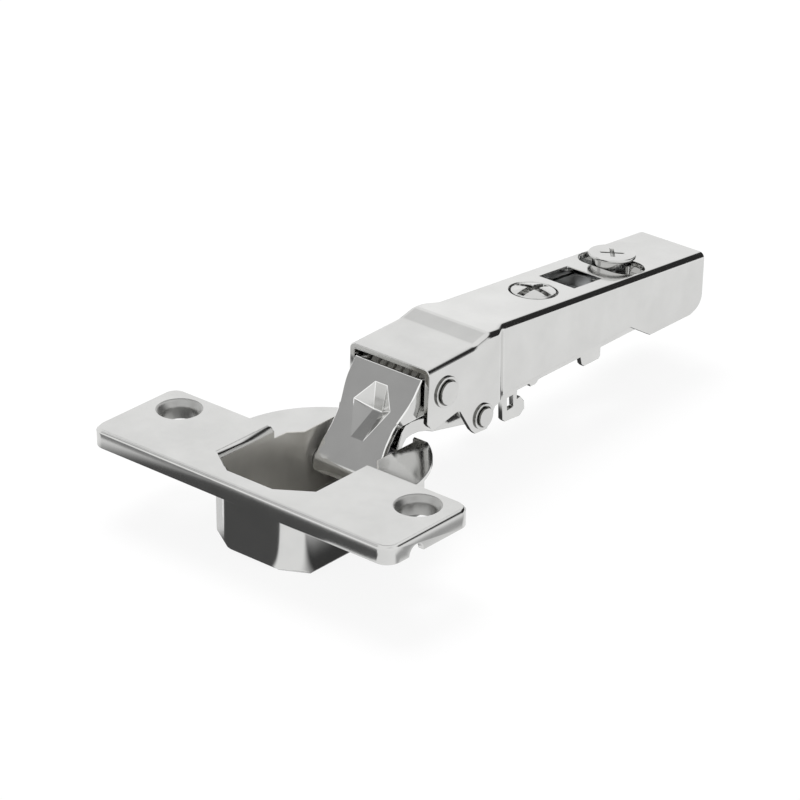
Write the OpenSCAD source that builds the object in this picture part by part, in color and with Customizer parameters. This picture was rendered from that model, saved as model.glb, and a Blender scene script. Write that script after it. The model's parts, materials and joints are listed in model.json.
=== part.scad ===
// Concealed cup hinge for a cabinet door, shown with the door open at a right angle.
// Frame: origin at the cup's centre on the door's face, X along the screw flange,
// Y from the cup towards the arm's rear end, Z out of the door's face.

/* [Screw flange] */
// Distance between the two screw holes
hole_spacing = 52; // [48:0.5:56]
// Distance from the cup's centre back to the line of the screw holes
hole_offset = 5.5; // [5:0.1:6]
// Length of the flange along X
flange_len = 65; // [62:0.5:70]
// From the line of holes to the flange's front edge
flange_front = 14.25; // [13.5:0.05:15]
// From the line of holes to the flange's back edge
flange_back = 5.65; // [5.3:0.05:6]
// Height of the flange's top above the door's face
flange_h = 3.25; // [3:0.05:3.6]
// Radius of the flange's corners in plan
flange_corner_r = 2.6; // [2:0.1:3]
// Sheet thickness of the flange
flange_t = 1.2; // [1:0.05:1.4]
// Width of the rounded rim round the flange's top
flange_edge = 0.6; // [0.3:0.05:0.8]
// Radius of a screw hole
screw_hole_r = 2.8; // [2.4:0.05:2.9]
// Radius of a countersink at the flange's top
sink_r = 3.95; // [3.6:0.05:4.2]
// Radius of the ring that carries a screw hole under the flange
screw_boss_r = 4.9; // [4.6:0.05:5.2]
// Radius of the half-round pry notch in each end wall
pry_notch_r = 1.65; // [1.2:0.05:1.8]
// From the line of holes forward to the pry notch
pry_notch_offset = 7.7; // [7:0.1:8.5]

/* [Cup] */
// Radius of the door bore that the cup drops into
bore_r = 17.5; // [17.4:0.05:17.8]
// Depth of the cup below the door's face
cup_depth = 11.6; // [11.4:0.1:12.6]
// Half width of the cup's body
cup_half_w = 10.7; // [10.6:0.05:10.9]
// From the cup's centre to its front wall
cup_front = 16.3; // [16.2:0.05:16.5]
// Half length of the flat front wall
cup_front_half = 5.3; // [4.9:0.05:5.6]
// From the cup's centre forward to where the side walls end
cup_side_front = 13.1; // [12.6:0.05:13.4]
// Thickness of the cup's side walls
cup_wall = 0.8; // [0.6:0.05:0.85]
// Thickness of the cup's floor
cup_floor = 1; // [0.8:0.05:1.2]
// Height of the bevel round the cup's bottom edge
cup_bevel = 0.8; // [0.4:0.05:1]
// Width of the rounded edge round the top of the pocket
pocket_edge = 1; // [0.6:0.05:1.2]
// Radius of the two wings that cover the bore's edge
wing_r = 18.4; // [18:0.05:18.8]
// Thickness of the wings
wing_t = 0.95; // [0.8:0.05:1.1]
// From the cup's centre back to the wings' straight edge
wing_back = 15.6; // [15.5:0.05:15.8]
// Half width of the slot that the links leave through
slot_half_w = 7.9; // [7.7:0.05:8]
// From the cup's centre back to where the pocket starts to narrow
pocket_side_back = 3.1; // [2.8:0.05:3.4]
// Length of the slanted wall between pocket and slot, along Y
pocket_step = 2.1; // [1.8:0.05:2.4]
// Thickness of the cup's back wall
back_wall = 0.7; // [0.5:0.05:0.75]
// Height of the back wall's top below the door's face
back_wall_drop = 3.4; // [3.2:0.05:4]
// Half width of the gap between the wings' tips
tip_gap_half = 6.8; // [6.6:0.05:7]

/* [Linkage] */
// Outer link's cup pivot, distance behind the cup's centre
pivot_a_y = 8.5; // [8.4:0.05:8.6]
// Outer link's cup pivot, depth below the door's face
pivot_a_depth = 4.9; // [4.8:0.05:5]
// Inner link's cup pivot, distance behind the cup's centre
pivot_b_y = 12.1; // [12:0.05:12.2]
// Inner link's cup pivot, depth below the door's face
pivot_b_depth = 3.05; // [2.95:0.05:3.15]
// Arm's front rivet, distance behind the cup's centre
pivot_c_y = 21.5; // [21.4:0.05:21.6]
// Arm's front rivet, height above the door's face
pivot_c_z = 7.5; // [7.4:0.05:7.6]
// Arm's rear rivet, distance behind the cup's centre
pivot_d_y = 30.8; // [30.7:0.05:30.9]
// Arm's rear rivet, depth below the door's face
pivot_d_depth = 0.4; // [0.3:0.05:0.5]
// Radius of the outer link's cup pin
pin_a_r = 1.5; // [1.3:0.05:1.6]
// Radius of the inner link's cup pin
pin_b_r = 1.1; // [0.9:0.05:1.2]
// Gap between a turning part and its pin
run_gap = 0.05; // [0.02:0.01:0.08]

/* [Outer link] */
// Sheet thickness of the outer link
outer_t = 1.1; // [0.9:0.05:1.2]
// Radius of the outer link's rolled foot round its cup pin
outer_wrap_r = 3; // [2.9:0.05:3.1]
// Angle by which the rolled foot goes round past the flat face
outer_wrap_angle = 54; // [40:1:58]
// Angle of the outer link's flat face above the door's face
outer_face_angle = 51.8; // [51:0.1:52.5]
// Length of the flat face from the foot's tangent to the top edge
outer_face_len = 17.7; // [17.2:0.05:17.9]
// Half width of the outer link's upper part
outer_head_half = 7.25; // [7:0.05:7.3]
// Half width of the outer link's lower part
outer_foot_half = 6.5; // [6.3:0.05:6.7]
// Depth of the faceted recess in the face
recess_depth = 2.1; // [1.6:0.1:2.4]

/* [Inner link] */
// Half width of the inner link
inner_half_w = 5.2; // [4.6:0.05:5.3]
// Radius of the inner link's foot round its cup pin
inner_foot_r = 1.8; // [1.7:0.05:1.85]
// Radius of the inner link's eye round the rear rivet
inner_eye_r = 2.6; // [2.5:0.05:2.8]
// Half width of the middle tongue of the foot between the springs
inner_tongue_half = 2.8; // [2.4:0.05:3]

/* [Arm] */
// Sheet thickness of the arm
arm_t = 1; // [0.8:0.05:1.05]
// Outside radius of the arm's long top edges
arm_edge_r = 1.1; // [0.8:0.05:1.4]
// Half width of the arm's nose
nose_half_w = 8.65; // [8.6:0.05:8.75]
// Half width of the long rear part
rear_half_w = 7.4; // [7.35:0.05:7.6]
// From the outer link's top edge back to the nose's front edge
nose_setback = 0.1; // [0:0.05:0.3]
// Gap between the outer link's top edge and the nose's sheet over it
nose_gap = 0.9; // [0.85:0.05:1]
// Slope of the nose's top
nose_tilt = 1.5; // [1:0.1:2]
// Where the nose's top meets the step
step_front_y = 29.1; // [28.8:0.05:29.4]
// Where the step meets the rear part's top
step_rear_y = 32.7; // [32.4:0.05:33]
// Rise of the step from the nose's top to the rear part's top
step_height = 0.85; // [0.7:0.05:1]
// Downward slope of the rear part's top
rear_slope = 5.6; // [5.2:0.1:6]
// Where the side walls start to draw in behind the nose
joggle_front_y = 34.6; // [34.2:0.05:35]
// Length over which the side walls draw in
joggle_len = 3.4; // [3:0.05:3.8]
// Rear end of the arm
arm_end_y = 92.3; // [90:0.1:95]
// Height of the side walls' long bottom edge
wall_bottom_z = 0.95; // [0.8:0.05:1.1]
// Where the side walls step down towards the rear
tail_y = 71.6; // [71:0.1:73]
// Bottom of the side walls near the rear end, below the door's face
tail_drop = 2.5; // [2:0.05:3]

/* [Rivets] */
// Radius of the front rivet's shank
rivet_c_r = 1.9; // [1.7:0.05:2]
// Radius of the front rivet's head
rivet_c_head_r = 2.75; // [2.6:0.05:2.9]
// Radius of the rear rivet's shank
rivet_d_r = 1.5; // [1.3:0.05:1.55]
// Radius of the rear rivet's head
rivet_d_head_r = 2.3; // [2.2:0.05:2.4]
// Height of a rivet head
rivet_head_h = 0.85; // [0.6:0.05:0.9]

/* [Adjusting screws] */
// Side-adjusting screw's distance behind the cup's centre
side_screw_y = 54.1; // [53.8:0.05:54.4]
// Radius of the side-adjusting screw's head
side_head_r = 3.9; // [3.7:0.05:4]
// Height of that head below the arm's top
side_head_h = 1.9; // [1.6:0.05:2.2]
// Rise of the head's dome
side_dome_h = 0.6; // [0.3:0.05:0.8]
// Radius of the side-adjusting screw's thread
side_thread_r = 2.5; // [2.2:0.05:2.6]
// Length of the thread below the adjusting plate
side_thread_end = 2.6; // [2:0.1:3]
// Gap round the head in the arm's hole
side_head_gap = 0.35; // [0.2:0.05:0.5]
// Half width of the square window
window_half = 3.8; // [3.6:0.05:4]
// Front edge of the square window
window_y = 60.4; // [60:0.05:60.8]
// Depth cam's distance behind the cup's centre
cam_y = 75.3; // [75:0.05:75.6]
// Radius of the cam's disc head
cam_disc_r = 4.15; // [4:0.05:4.4]
// Height of the disc's top above the arm
cam_disc_rise = 1.9; // [1.6:0.05:2]
// Thickness of the disc
cam_disc_t = 0.6; // [0.5:0.05:0.8]
// Radius of the cam's barrel in the oval hole
cam_barrel_r = 3.4; // [3.2:0.05:3.5]
// Gap between the barrel and the long edges of the oval hole
oval_gap = 0.2; // [0.1:0.05:0.4]
// Offset of the cam's peg from its axis
cam_throw = 1.2; // [0.8:0.05:1.3]

/* [Carrier] */
// Half width of the carrier
carrier_half_w = 6.1; // [5.9:0.05:6.15]
// Sheet thickness of the carrier
carrier_t = 1.1; // [0.9:0.05:1.2]
// Front end of the carrier
carrier_front_y = 38.9; // [38.6:0.05:39.2]
// Rear end of the carrier
carrier_rear_y = 84; // [82:0.1:85]
// Bottom of the carrier's side rails, below the door's face
rail_drop = 0.9; // [0.8:0.05:1.2]
// Bottom of the front hooks, below the door's face
hook_drop = 5.9; // [5.6:0.05:6.2]
// Front edge of the tab under the carrier's rails
rail_tab_y = 59.7; // [59:0.1:60.5]
// Length of that tab
rail_tab_len = 5.4; // [5:0.1:6]
// Depth of that tab below the rails
rail_tab_drop = 2; // [1.6:0.05:2.4]

/* [Latch] */
// From the carrier's rear end forward to the latch pin
latch_pin_inset = 3.8; // [3.5:0.05:4]
// Height of the latch pin above the door's face
latch_pin_z = 1.5; // [1.4:0.05:1.6]
// Radius of the latch pin
latch_pin_r = 0.9; // [0.7:0.05:1]
// From the latch pin back to the lever's rear end
latch_reach = 10.2; // [9.8:0.1:10.4]
// Height of the lever's rear end above the pin
latch_lever_h = 2.4; // [2.2:0.05:2.6]
// Depth of the lever's teeth below the pin
latch_tooth_drop = 4.5; // [4.2:0.05:4.8]
// Sheet thickness of the latch lever
latch_t = 1; // [0.8:0.05:1.1]
// Gap between the latch lever and the carrier's side walls
latch_side_gap = 0.15; // [0.1:0.05:0.3]

/* [Hidden] */
$fn = 48;
eps = 0.01;
far = 60;

// Pivots as [y, z] points
pa = [pivot_a_y, -pivot_a_depth];
pb = [pivot_b_y, -pivot_b_depth];
pc = [pivot_c_y, pivot_c_z];
pd = [pivot_d_y, -pivot_d_depth];

// Points of an arc, both ends included
function arc(c, r, from, to, n = 8) =
    [for (i = [0:n]) c + r * [cos(from + (to - from) * i / n), sin(from + (to - from) * i / n)]];

// A 2-D shape drawn in (y, z) and given a thickness along X, centred or from x0
module across(w) translate([-w / 2, 0, 0]) rotate([90, 0, 90]) linear_extrude(height = w) children();
module across_from(x0, w) translate([x0, 0, 0]) rotate([90, 0, 90]) linear_extrude(height = w) children();

// A round bar along X through the point p = [y, z]
module bar(p, r, x0, x1) translate([x0, p[0], p[1]]) rotate([0, 90, 0]) cylinder(h = x1 - x0, r = r);

// Both sides of a thing drawn at +X
module both_sides() {
    children();
    mirror([1, 0, 0]) children();
}

// A rectangle with round corners, centred on X and running from y0 to y1
module round_plan(half_x, y0, y1, r) {
    translate([-half_x + r, y0]) square([2 * half_x - 2 * r, y1 - y0]);
    translate([-half_x, y0 + r]) square([2 * half_x, y1 - y0 - 2 * r]);
    for (x = [-half_x + r, half_x - r], y = [y0 + r, y1 - r]) translate([x, y]) circle(r = r);
}

// Cup: screw flange, pocket and wings in one piece
flange_y0 = -hole_offset - flange_front;
flange_y1 = -hole_offset + flange_back;
chamfer_angle = atan2(cup_front - cup_side_front, cup_half_w - cup_front_half);
pocket_front_half = cup_front_half - cup_wall * tan(chamfer_angle / 2);
pocket_side_front = cup_side_front - cup_wall * tan((90 - chamfer_angle) / 2);
pocket_half_w = cup_half_w - cup_wall;
slot_front = pocket_side_back + pocket_step;
slot_back = wing_back - back_wall;
slot_flare_y = wing_back - 3.2;

// Front half of the cup's outline, grown outwards by g
function cup_front_line(g) = [
    [-cup_half_w - g, -cup_side_front], [-cup_front_half, -cup_front - g],
    [cup_front_half, -cup_front - g], [cup_half_w + g, -cup_side_front]];

// Cup's outline: straight facets in front, the bore's own curve behind
module cup_plan(g) {
    intersection() {
        polygon(concat(cup_front_line(g),
                       [[cup_half_w + g, wing_back + g], [-cup_half_w - g, wing_back + g]]));
        circle(r = bore_r - 0.15 + g, $fn = 96);
    }
}

module pocket_plan(g = 0) {
    polygon([
        [-pocket_half_w - g, -pocket_side_front], [-pocket_front_half, -cup_front + cup_wall - g],
        [pocket_front_half, -cup_front + cup_wall - g], [pocket_half_w + g, -pocket_side_front],
        [pocket_half_w + g, pocket_side_back], [slot_half_w, slot_front], [slot_half_w, slot_back],
        [-slot_half_w, slot_back], [-slot_half_w, slot_front], [-pocket_half_w - g, pocket_side_back]]);
}

module flange() {
    difference() {
        hull() {
            linear_extrude(height = flange_h - flange_edge)
                round_plan(flange_len / 2, flange_y0, flange_y1, flange_corner_r);
            linear_extrude(height = flange_h)
                round_plan(flange_len / 2 - flange_edge, flange_y0 + flange_edge, flange_y1 - flange_edge,
                           flange_corner_r - flange_edge);
        }
        translate([0, 0, -eps]) linear_extrude(height = flange_h - flange_t + eps)
            round_plan(flange_len / 2 - flange_t, flange_y0 + flange_t, flange_y1 - flange_t,
                       flange_corner_r - flange_t);
        both_sides()
            bar([-hole_offset - pry_notch_offset, 0], pry_notch_r, flange_len / 2 - 2 * flange_t, far);
    }
    for (s = [-1, 1])
        translate([s * hole_spacing / 2, -hole_offset, 0])
            cylinder(h = flange_h - eps, r = screw_boss_r);
}

module cup_body() {
    translate([0, 0, -cup_depth + cup_bevel])
        linear_extrude(height = cup_depth - cup_bevel + wing_t) cup_plan(0);
    hull() {
        translate([0, 0, -cup_depth]) linear_extrude(height = eps) cup_plan(-cup_bevel);
        translate([0, 0, -cup_depth + cup_bevel]) linear_extrude(height = eps) cup_plan(0);
    }
    intersection() {
        linear_extrude(height = flange_h - eps) cup_plan(0);
        translate([-far, flange_y0 + flange_t, 0]) cube([2 * far, flange_y1 - flange_t - flange_y0, far]);
    }
}

module wings() {
    intersection() {
        cylinder(h = wing_t, r = wing_r, $fn = 96);
        translate([-far, 0, -eps]) cube([2 * far, wing_back, wing_t + 1]);
    }
}

module cup() {
    color("silver") difference() {
        union() {
            flange();
            cup_body();
            wings();
        }
        translate([0, 0, -cup_depth + cup_floor]) linear_extrude(height = far) pocket_plan();
        // rounded edge round the pocket's mouth
        hull() {
            translate([0, 0, flange_h - pocket_edge]) linear_extrude(height = eps) intersection() {
                pocket_plan();
                translate([-far, -far]) square([2 * far, far + pocket_side_back]);
            }
            translate([0, 0, flange_h]) linear_extrude(height = eps) intersection() {
                pocket_plan(pocket_edge);
                translate([-far, -far]) square([2 * far, far + pocket_side_back]);
            }
        }
        // gap over the back wall, drawn in towards the wings' tips
        translate([0, 0, -back_wall_drop]) linear_extrude(height = far)
            polygon([[-slot_half_w, slot_front], [slot_half_w, slot_front], [slot_half_w, slot_flare_y],
                     [tip_gap_half, wing_back], [tip_gap_half, far], [-tip_gap_half, far],
                     [-tip_gap_half, wing_back], [-slot_half_w, slot_flare_y]]);
        for (s = [-1, 1]) translate([s * hole_spacing / 2, -hole_offset, 0]) {
            translate([0, 0, -eps]) cylinder(h = flange_h + 1, r = screw_hole_r);
            translate([0, 0, flange_h - sink_r + screw_hole_r])
                cylinder(h = sink_r - screw_hole_r + eps, r1 = screw_hole_r, r2 = sink_r + eps);
        }
        bar(pa, pin_a_r, -pin_a_half, pin_a_half);
        bar(pb, pin_b_r, -pin_b_half, pin_b_half);
    }
}

pin_a_half = cup_half_w - 0.7;
pin_b_half = slot_half_w + 1;

module outer_pin() color("dimgray") bar(pa, pin_a_r, -pin_a_half, pin_a_half);
module inner_pin() color("dimgray") bar(pb, pin_b_r, -pin_b_half, pin_b_half);

// Closing springs: coils round the inner pin, one leg on the cup's floor, one hooked on the inner link
spring_wire_r = 0.36;
spring_coil_r = 1.54;
spring_turns = 3;
coil_pitch = 1.9;
leg_ratio = 0.86;
spring_mid_x = 4.05;
spring_floor_z = -cup_depth + cup_floor + 0.02;
spring_hook_angle = 54;

// Turns of a coil side by side round the axis through p, the middle one at x
module coil(x, p, turns, coil_r, wire_r) {
    for (i = [0:turns - 1])
        translate([x + (i - (turns - 1) / 2) * coil_pitch * wire_r, p[0], p[1]]) rotate([0, 90, 0])
            rotate_extrude($fn = 48) translate([coil_r, 0]) circle(r = wire_r, $fn = 24);
}

// A straight wire between two [y, z] points at one x
module wire_leg(x, p, q, r) {
    v = q - p;
    translate([x, p[0], p[1]]) rotate([atan2(-v[0], v[1]), 0, 0]) cylinder(h = norm(v), r = r, $fn = 16);
}

module closing_spring(x) {
    hook = [cos(spring_hook_angle), sin(spring_hook_angle)];
    end_x = (spring_turns - 1) / 2 * coil_pitch * spring_wire_r;
    color("gray") {
        coil(x, pb, spring_turns, spring_coil_r, spring_wire_r);
        wire_leg(x - end_x, pb - [0, spring_coil_r], [pb[0], spring_floor_z], leg_ratio * spring_wire_r);
        wire_leg(x + end_x, pb + spring_coil_r * hook, pb + (spring_coil_r + spring_wire_r + 0.22) * hook,
                 leg_ratio * spring_wire_r);
    }
}
module closing_spring_left() closing_spring(-spring_mid_x);
module closing_spring_right() mirror([1, 0, 0]) closing_spring(-spring_mid_x);

// Outer link: its own frame has u along the face from the cup pivot and v out of the face
outer_slot_angle = -61.4;
outer_slot_back = 1.34;
outer_slot_front = 0.98;
outer_slot_side = 0.18;
outer_slot_r = rivet_c_r + 0.24 + run_gap;
outer_ear_wall = 0.95;

function to_outer(p) =
    let (d = p - pa)
    [d[0] * cos(outer_face_angle) + d[1] * sin(outer_face_angle),
     -d[0] * sin(outer_face_angle) + d[1] * cos(outer_face_angle)];

oc = to_outer(pc);
slot_dir = [cos(outer_slot_angle), sin(outer_slot_angle)];
slot_mid = oc + outer_slot_side * [slot_dir[1], -slot_dir[0]];
slot_p = slot_mid - outer_slot_back * slot_dir;
slot_q = slot_mid + outer_slot_front * slot_dir;

module in_outer_frame() translate([0, pa[0], pa[1]]) rotate([outer_face_angle, 0, 0]) children();

// Slot with round ends between two points
module slot2d(p, q, r) {
    v = q - p;
    translate(p) circle(r = r);
    translate(q) circle(r = r);
    translate(p) rotate(atan2(v[1], v[0])) translate([0, -r]) square([norm(v), 2 * r]);
}

// Along u: top of the foot's walls, where the face starts to widen, and where it has widened
neck_u = outer_face_len - 8.3;
flare_u = neck_u + 1.8;
foot_top_u = neck_u + 1.2;

// Outline of the face plate in (x, u)
module outer_face_plan() {
    polygon([[-outer_head_half, outer_face_len], [-outer_head_half, flare_u], [-outer_foot_half, neck_u],
             [-outer_foot_half, 0], [outer_foot_half, 0], [outer_foot_half, neck_u],
             [outer_head_half, flare_u], [outer_head_half, outer_face_len]]);
}

// Side wall of the upper part in (u, v)
module outer_head_wall() {
    polygon([[outer_face_len, outer_wrap_r], [neck_u, outer_wrap_r], [neck_u, outer_wrap_r / 2],
             [flare_u + 0.4, -0.6], slot_q + [-2.9, -0.6], slot_q, slot_p + [2.4, 0]]);
    slot2d(slot_p, slot_q, outer_slot_r + outer_ear_wall);
}

// Side wall of the lower part in (u, v)
module outer_foot_wall() {
    waist = outer_wrap_r - 1.05;
    polygon([[foot_top_u, outer_wrap_r], [0, outer_wrap_r], [-1, waist], [0, 0], [2, waist - 0.55],
             [4.4, waist], [foot_top_u - 2, waist], [foot_top_u, waist - 1.05]]);
    circle(r = outer_wrap_r - 0.5);
}

// Six-sided recess with a short ridge at the bottom, as solid of the space, grown by g
module face_recess(g) {
    top = [1.25, outer_face_len * 0.836];
    mid = [3.95, outer_face_len * 0.616];
    low = [1.3, outer_face_len * 0.271];
    ridge = [0.9, outer_face_len * 0.599];
    h = recess_depth + g;
    pts = [
        [-top[0] - g, top[1] + g, outer_wrap_r], [top[0] + g, top[1] + g, outer_wrap_r],
        [mid[0] + g, mid[1], outer_wrap_r], [low[0] + g, low[1] - g, outer_wrap_r],
        [-low[0] - g, low[1] - g, outer_wrap_r], [-mid[0] - g, mid[1], outer_wrap_r],
        [-ridge[0], ridge[1], outer_wrap_r - h], [ridge[0], ridge[1], outer_wrap_r - h]];
    polyhedron(points = pts, faces = [[0, 1, 2, 3, 4, 5], [1, 0, 6, 7], [4, 3, 7, 6], [2, 1, 7], [3, 2, 7],
                                      [0, 5, 6], [5, 4, 6]]);
}

module outer_link() {
    color("gainsboro") in_outer_frame() {
        difference() {
            union() {
                translate([0, 0, outer_wrap_r - outer_t]) linear_extrude(height = outer_t) outer_face_plan();
                // rolled foot
                across(2 * outer_foot_half)
                    polygon(concat(arc([0, 0], outer_wrap_r, 90, 90 + outer_wrap_angle),
                                   arc([0, 0], outer_wrap_r - outer_t, 90 + outer_wrap_angle, 90)));
                both_sides() {
                    across_from(outer_head_half - outer_t, outer_t) outer_head_wall();
                    across_from(outer_foot_half - outer_t, outer_t) outer_foot_wall();
                }
                face_recess(0.5);
            }
            translate([0, 0, eps]) face_recess(0);
            across(2 * far) slot2d(slot_p, slot_q, outer_slot_r);
            bar([0, 0], pin_a_r + run_gap, -far, far);
        }
    }
}

// Inner link: a bent plate from the cup's second pivot to the rear rivet
module inner_profile() {
    polygon(concat(
        [pb + [1.2, -1.2], pb + [1.75, -0.4], pb + [2.2, 1.45], pb + [2.6, 2.3], pb + [3.4, 3.1],
         pb + [4.9, 3.35], pb + [6.5, 3.2], pb + [8.3, 2.7], pd + [-8.8, -0.7]],
        arc(pd, inner_eye_r, -115, 100, 12),
        [pd + [-5.8, 2.4], pd + [-9.3, 2.15], pb + [6.5, 5.55], pb + [4.5, 5.8], pb + [3.2, 5.5],
         pb + [2.3, 4.55], pb + [1.3, 2.65], pb + [0.7, 1.65]]));
    translate(pb) circle(r = inner_foot_r);
}

module inner_link() {
    color("gray") difference() {
        across(2 * inner_half_w) inner_profile();
        bar(pb, pin_b_r + run_gap, -far, far);
        bar(pd, rivet_d_r + run_gap, -far, far);
        // room beside the tongue for the closing springs
        both_sides() bar(pb, spring_coil_r + spring_wire_r + 0.25, inner_tongue_half, far);
    }
}

// Arm: its nose keeps to the outer link's top edge, given here as [y, z]
link_edge = pa + outer_face_len * [cos(outer_face_angle), sin(outer_face_angle)]
    + outer_wrap_r * [-sin(outer_face_angle), cos(outer_face_angle)];
nose_front_y = link_edge[0] + nose_setback;
nose_top_z = link_edge[1] + nose_gap + arm_t;
function rear_top(y) = rear_top_z - (y - step_rear_y) * tan(rear_slope);
function nose_top(y) = nose_top_z + (y - nose_front_y) * tan(nose_tilt);
rear_top_z = nose_top(step_front_y) + step_height;

// Bottom edge of the side walls from the nose's front corner to the rear end
wall_bottom_points = [
    [nose_front_y - 0.4, pc[1] - 4.3], [nose_front_y + 0.9, pc[1] - 6], pc + [2.7, -4.8], pc + [3.6, -5],
    pd + [-2.9, -1.6], pd + [-1.9, -2.6], pd + [1.1, -2.8], pd + [3.2, 0.6],
    [pd[0] + 5.6, wall_bottom_z - 0.3], [tail_y, wall_bottom_z], [tail_y + 5.6, -tail_drop],
    [arm_end_y - 3.7, -tail_drop - 0.15]];

module wall_profile() {
    polygon(concat(wall_bottom_points, arc([arm_end_y - 3.4, 0.6], 3, -70, -5),
        [[arm_end_y, rear_top(arm_end_y) + 1], [step_rear_y, far], [nose_front_y + 0.2, far],
         [nose_front_y, link_edge[1]]]));
}

// Height that a soft bend from slope s1 to slope s2 adds at y; it runs from y0 - b to y0 + b
function bend(y, y0, b, s1, s2) =
    y <= y0 - b ? s1 * (y - y0) :
    y >= y0 + b ? s2 * (y - y0) :
    s1 * (y - y0) + (s2 - s1) * pow(y - y0 + b, 2) / (4 * b);

// Top line of the arm: nose, step and rear part with softly bent creases
crease_half = 0.6;
step_rise = (rear_top_z - nose_top(step_front_y)) / (step_rear_y - step_front_y);
function arm_top(y) = nose_top(step_front_y)
    + bend(y, step_front_y, crease_half, tan(nose_tilt), step_rise)
    + bend(y, step_rear_y, crease_half, 0, -tan(rear_slope) - step_rise);

// Half width of the arm: an S-shaped joggle between nose and rear part
function ease(t) = t <= 0 ? 0 : t >= 1 ? 1 : t * t * (3 - 2 * t);
function arm_half(y) = nose_half_w - (nose_half_w - rear_half_w) * ease((y - joggle_front_y) / joggle_len);

// One station of the arm's envelope, shrunk by g, as points round the section
edge_steps = 6;
arm_floor = -9;
function station(y, g, r) =
    let (w = arm_half(y) - g, z = arm_top(y) - g,
         right = [for (i = [0:edge_steps]) let (a = 90 * i / edge_steps)
                  [w - r + r * cos(a), z - r + r * sin(a)]],
         left = [for (i = [edge_steps:-1:0]) let (a = 90 * i / edge_steps)
                 [-w + r - r * cos(a), z - r + r * sin(a)]])
    [for (p = concat([[w, arm_floor]], right, left, [[-w, arm_floor]])) [p[0], y, p[1]]];

// Skin through equal rings of points, closed at both ends
module loft(rings) {
    n = len(rings[0]);
    m = len(rings);
    polyhedron(
        points = [for (ring = rings, p = ring) p],
        faces = concat(
            [[for (j = [n - 1:-1:0]) j]],
            [[for (j = [0:n - 1]) (m - 1) * n + j]],
            [for (i = [0:m - 2], j = [0:n - 1])
                [i * n + j, (i + 1) * n + (j + 1) % n, (i + 1) * n + j]],
            [for (i = [0:m - 2], j = [0:n - 1])
                [i * n + j, i * n + (j + 1) % n, (i + 1) * n + (j + 1) % n]]));
}

arm_stations = concat(
    [nose_front_y - 2],
    [for (i = [-2:2]) step_front_y + i * crease_half / 2],
    [for (i = [-2:2]) step_rear_y + i * crease_half / 2],
    [for (i = [0:8]) joggle_front_y + i * joggle_len / 8],
    [arm_end_y + 3]);

// Solid envelope of the arm, shrunk by g at the sides and the top
module arm_envelope(g, r) loft([for (y = arm_stations) station(y, g, r)]);

// Holes in the arm's top, square to it
module on_arm_top(y) translate([0, y, rear_top(y)]) rotate([-rear_slope, 0, 0]) children();

// Oval hole across the arm's top for the cam's barrel
module oval_plan() {
    half_x = rear_half_w - arm_t;
    half_y = cam_barrel_r + oval_gap;
    slot2d([half_y - half_x, 0], [half_x - half_y, 0], half_y);
}

module arm() {
    color("whitesmoke") difference() {
        intersection() {
            arm_envelope(0, arm_edge_r);
            across(2 * far) wall_profile();
        }
        arm_envelope(arm_t, 0.2);
        on_arm_top(side_screw_y) translate([0, 0, -4]) cylinder(h = 8, r = side_head_r + side_head_gap);
        on_arm_top(window_y) translate([-window_half, 0, -4]) cube([2 * window_half, 2 * window_half, 8]);
        on_arm_top(cam_y) translate([0, 0, -4]) linear_extrude(height = 8) oval_plan();
        bar(pc, rivet_c_r, -far, far);
        bar(pd, rivet_d_r, -far, far);
    }
}

// A rivet along X: shank with a flanged, flat-topped head at each end
module rivet(p, shank_r, head_r) {
    bar(p, shank_r, -nose_half_w - eps, nose_half_w + eps);
    both_sides() {
        bar(p, head_r, nose_half_w, nose_half_w + rivet_head_h * 0.45);
        bar(p, head_r - 0.55, nose_half_w + rivet_head_h * 0.45 - eps, nose_half_w + rivet_head_h);
    }
}
module front_rivet() color("lightgray") rivet(pc, rivet_c_r, rivet_c_head_r);
module rear_rivet() color("lightgray") rivet(pd, rivet_d_r, rivet_d_head_r);

// Grooved spacer on the front rivet between the outer link's ears
spacer_r = 3.1;
spacer_half = outer_head_half - outer_t - 0.25;
spacer_grooves = 6;
module nose_spacer() {
    pitch = 2 * spacer_half / (spacer_grooves + 1);
    color("darkgray") difference() {
        bar(pc, spacer_r, -spacer_half, spacer_half);
        bar(pc, rivet_c_r, -far, far);
        for (i = [1:spacer_grooves]) difference() {
            bar(pc, far, -spacer_half + i * pitch - 0.25, -spacer_half + i * pitch + 0.25);
            bar(pc, spacer_r - 1, -far, far);
        }
    }
}

// Side-adjusting screw: domed head with a cross slot, thread down through the adjusting plate
module cross_recess(r, w, depth) {
    for (a = [0, 90]) rotate([0, 0, a]) translate([-r, -w / 2, -depth]) cube([2 * r, w, 2 * depth]);
}

module side_screw() {
    dome_r = (side_head_r * side_head_r + side_dome_h * side_dome_h) / (2 * side_dome_h);
    thread_end = plate_top - plate_t - side_thread_end;
    color("silver") on_arm_top(side_screw_y) difference() {
        union() {
            translate([0, 0, -side_head_h]) cylinder(h = side_head_h, r = side_head_r);
            translate([0, 0, thread_end]) cylinder(h = -thread_end - side_head_h + eps, r = side_thread_r);
            intersection() {
                translate([0, 0, side_dome_h - dome_r]) sphere(r = dome_r, $fn = 64);
                translate([0, 0, -eps]) cylinder(h = 2 * side_dome_h, r = side_head_r);
            }
        }
        translate([0, 0, side_dome_h]) cross_recess(side_head_r * 0.9, side_head_r / 3, side_head_h);
    }
}

// Adjusting plate: lies under the arm's top, threaded for the side screw, with the carrier under it
plate_t = 1.2;
plate_top = -3.2;
plate_y0 = 48;
plate_y1 = 80.5;
web_top = plate_top - plate_t - run_gap;

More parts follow.
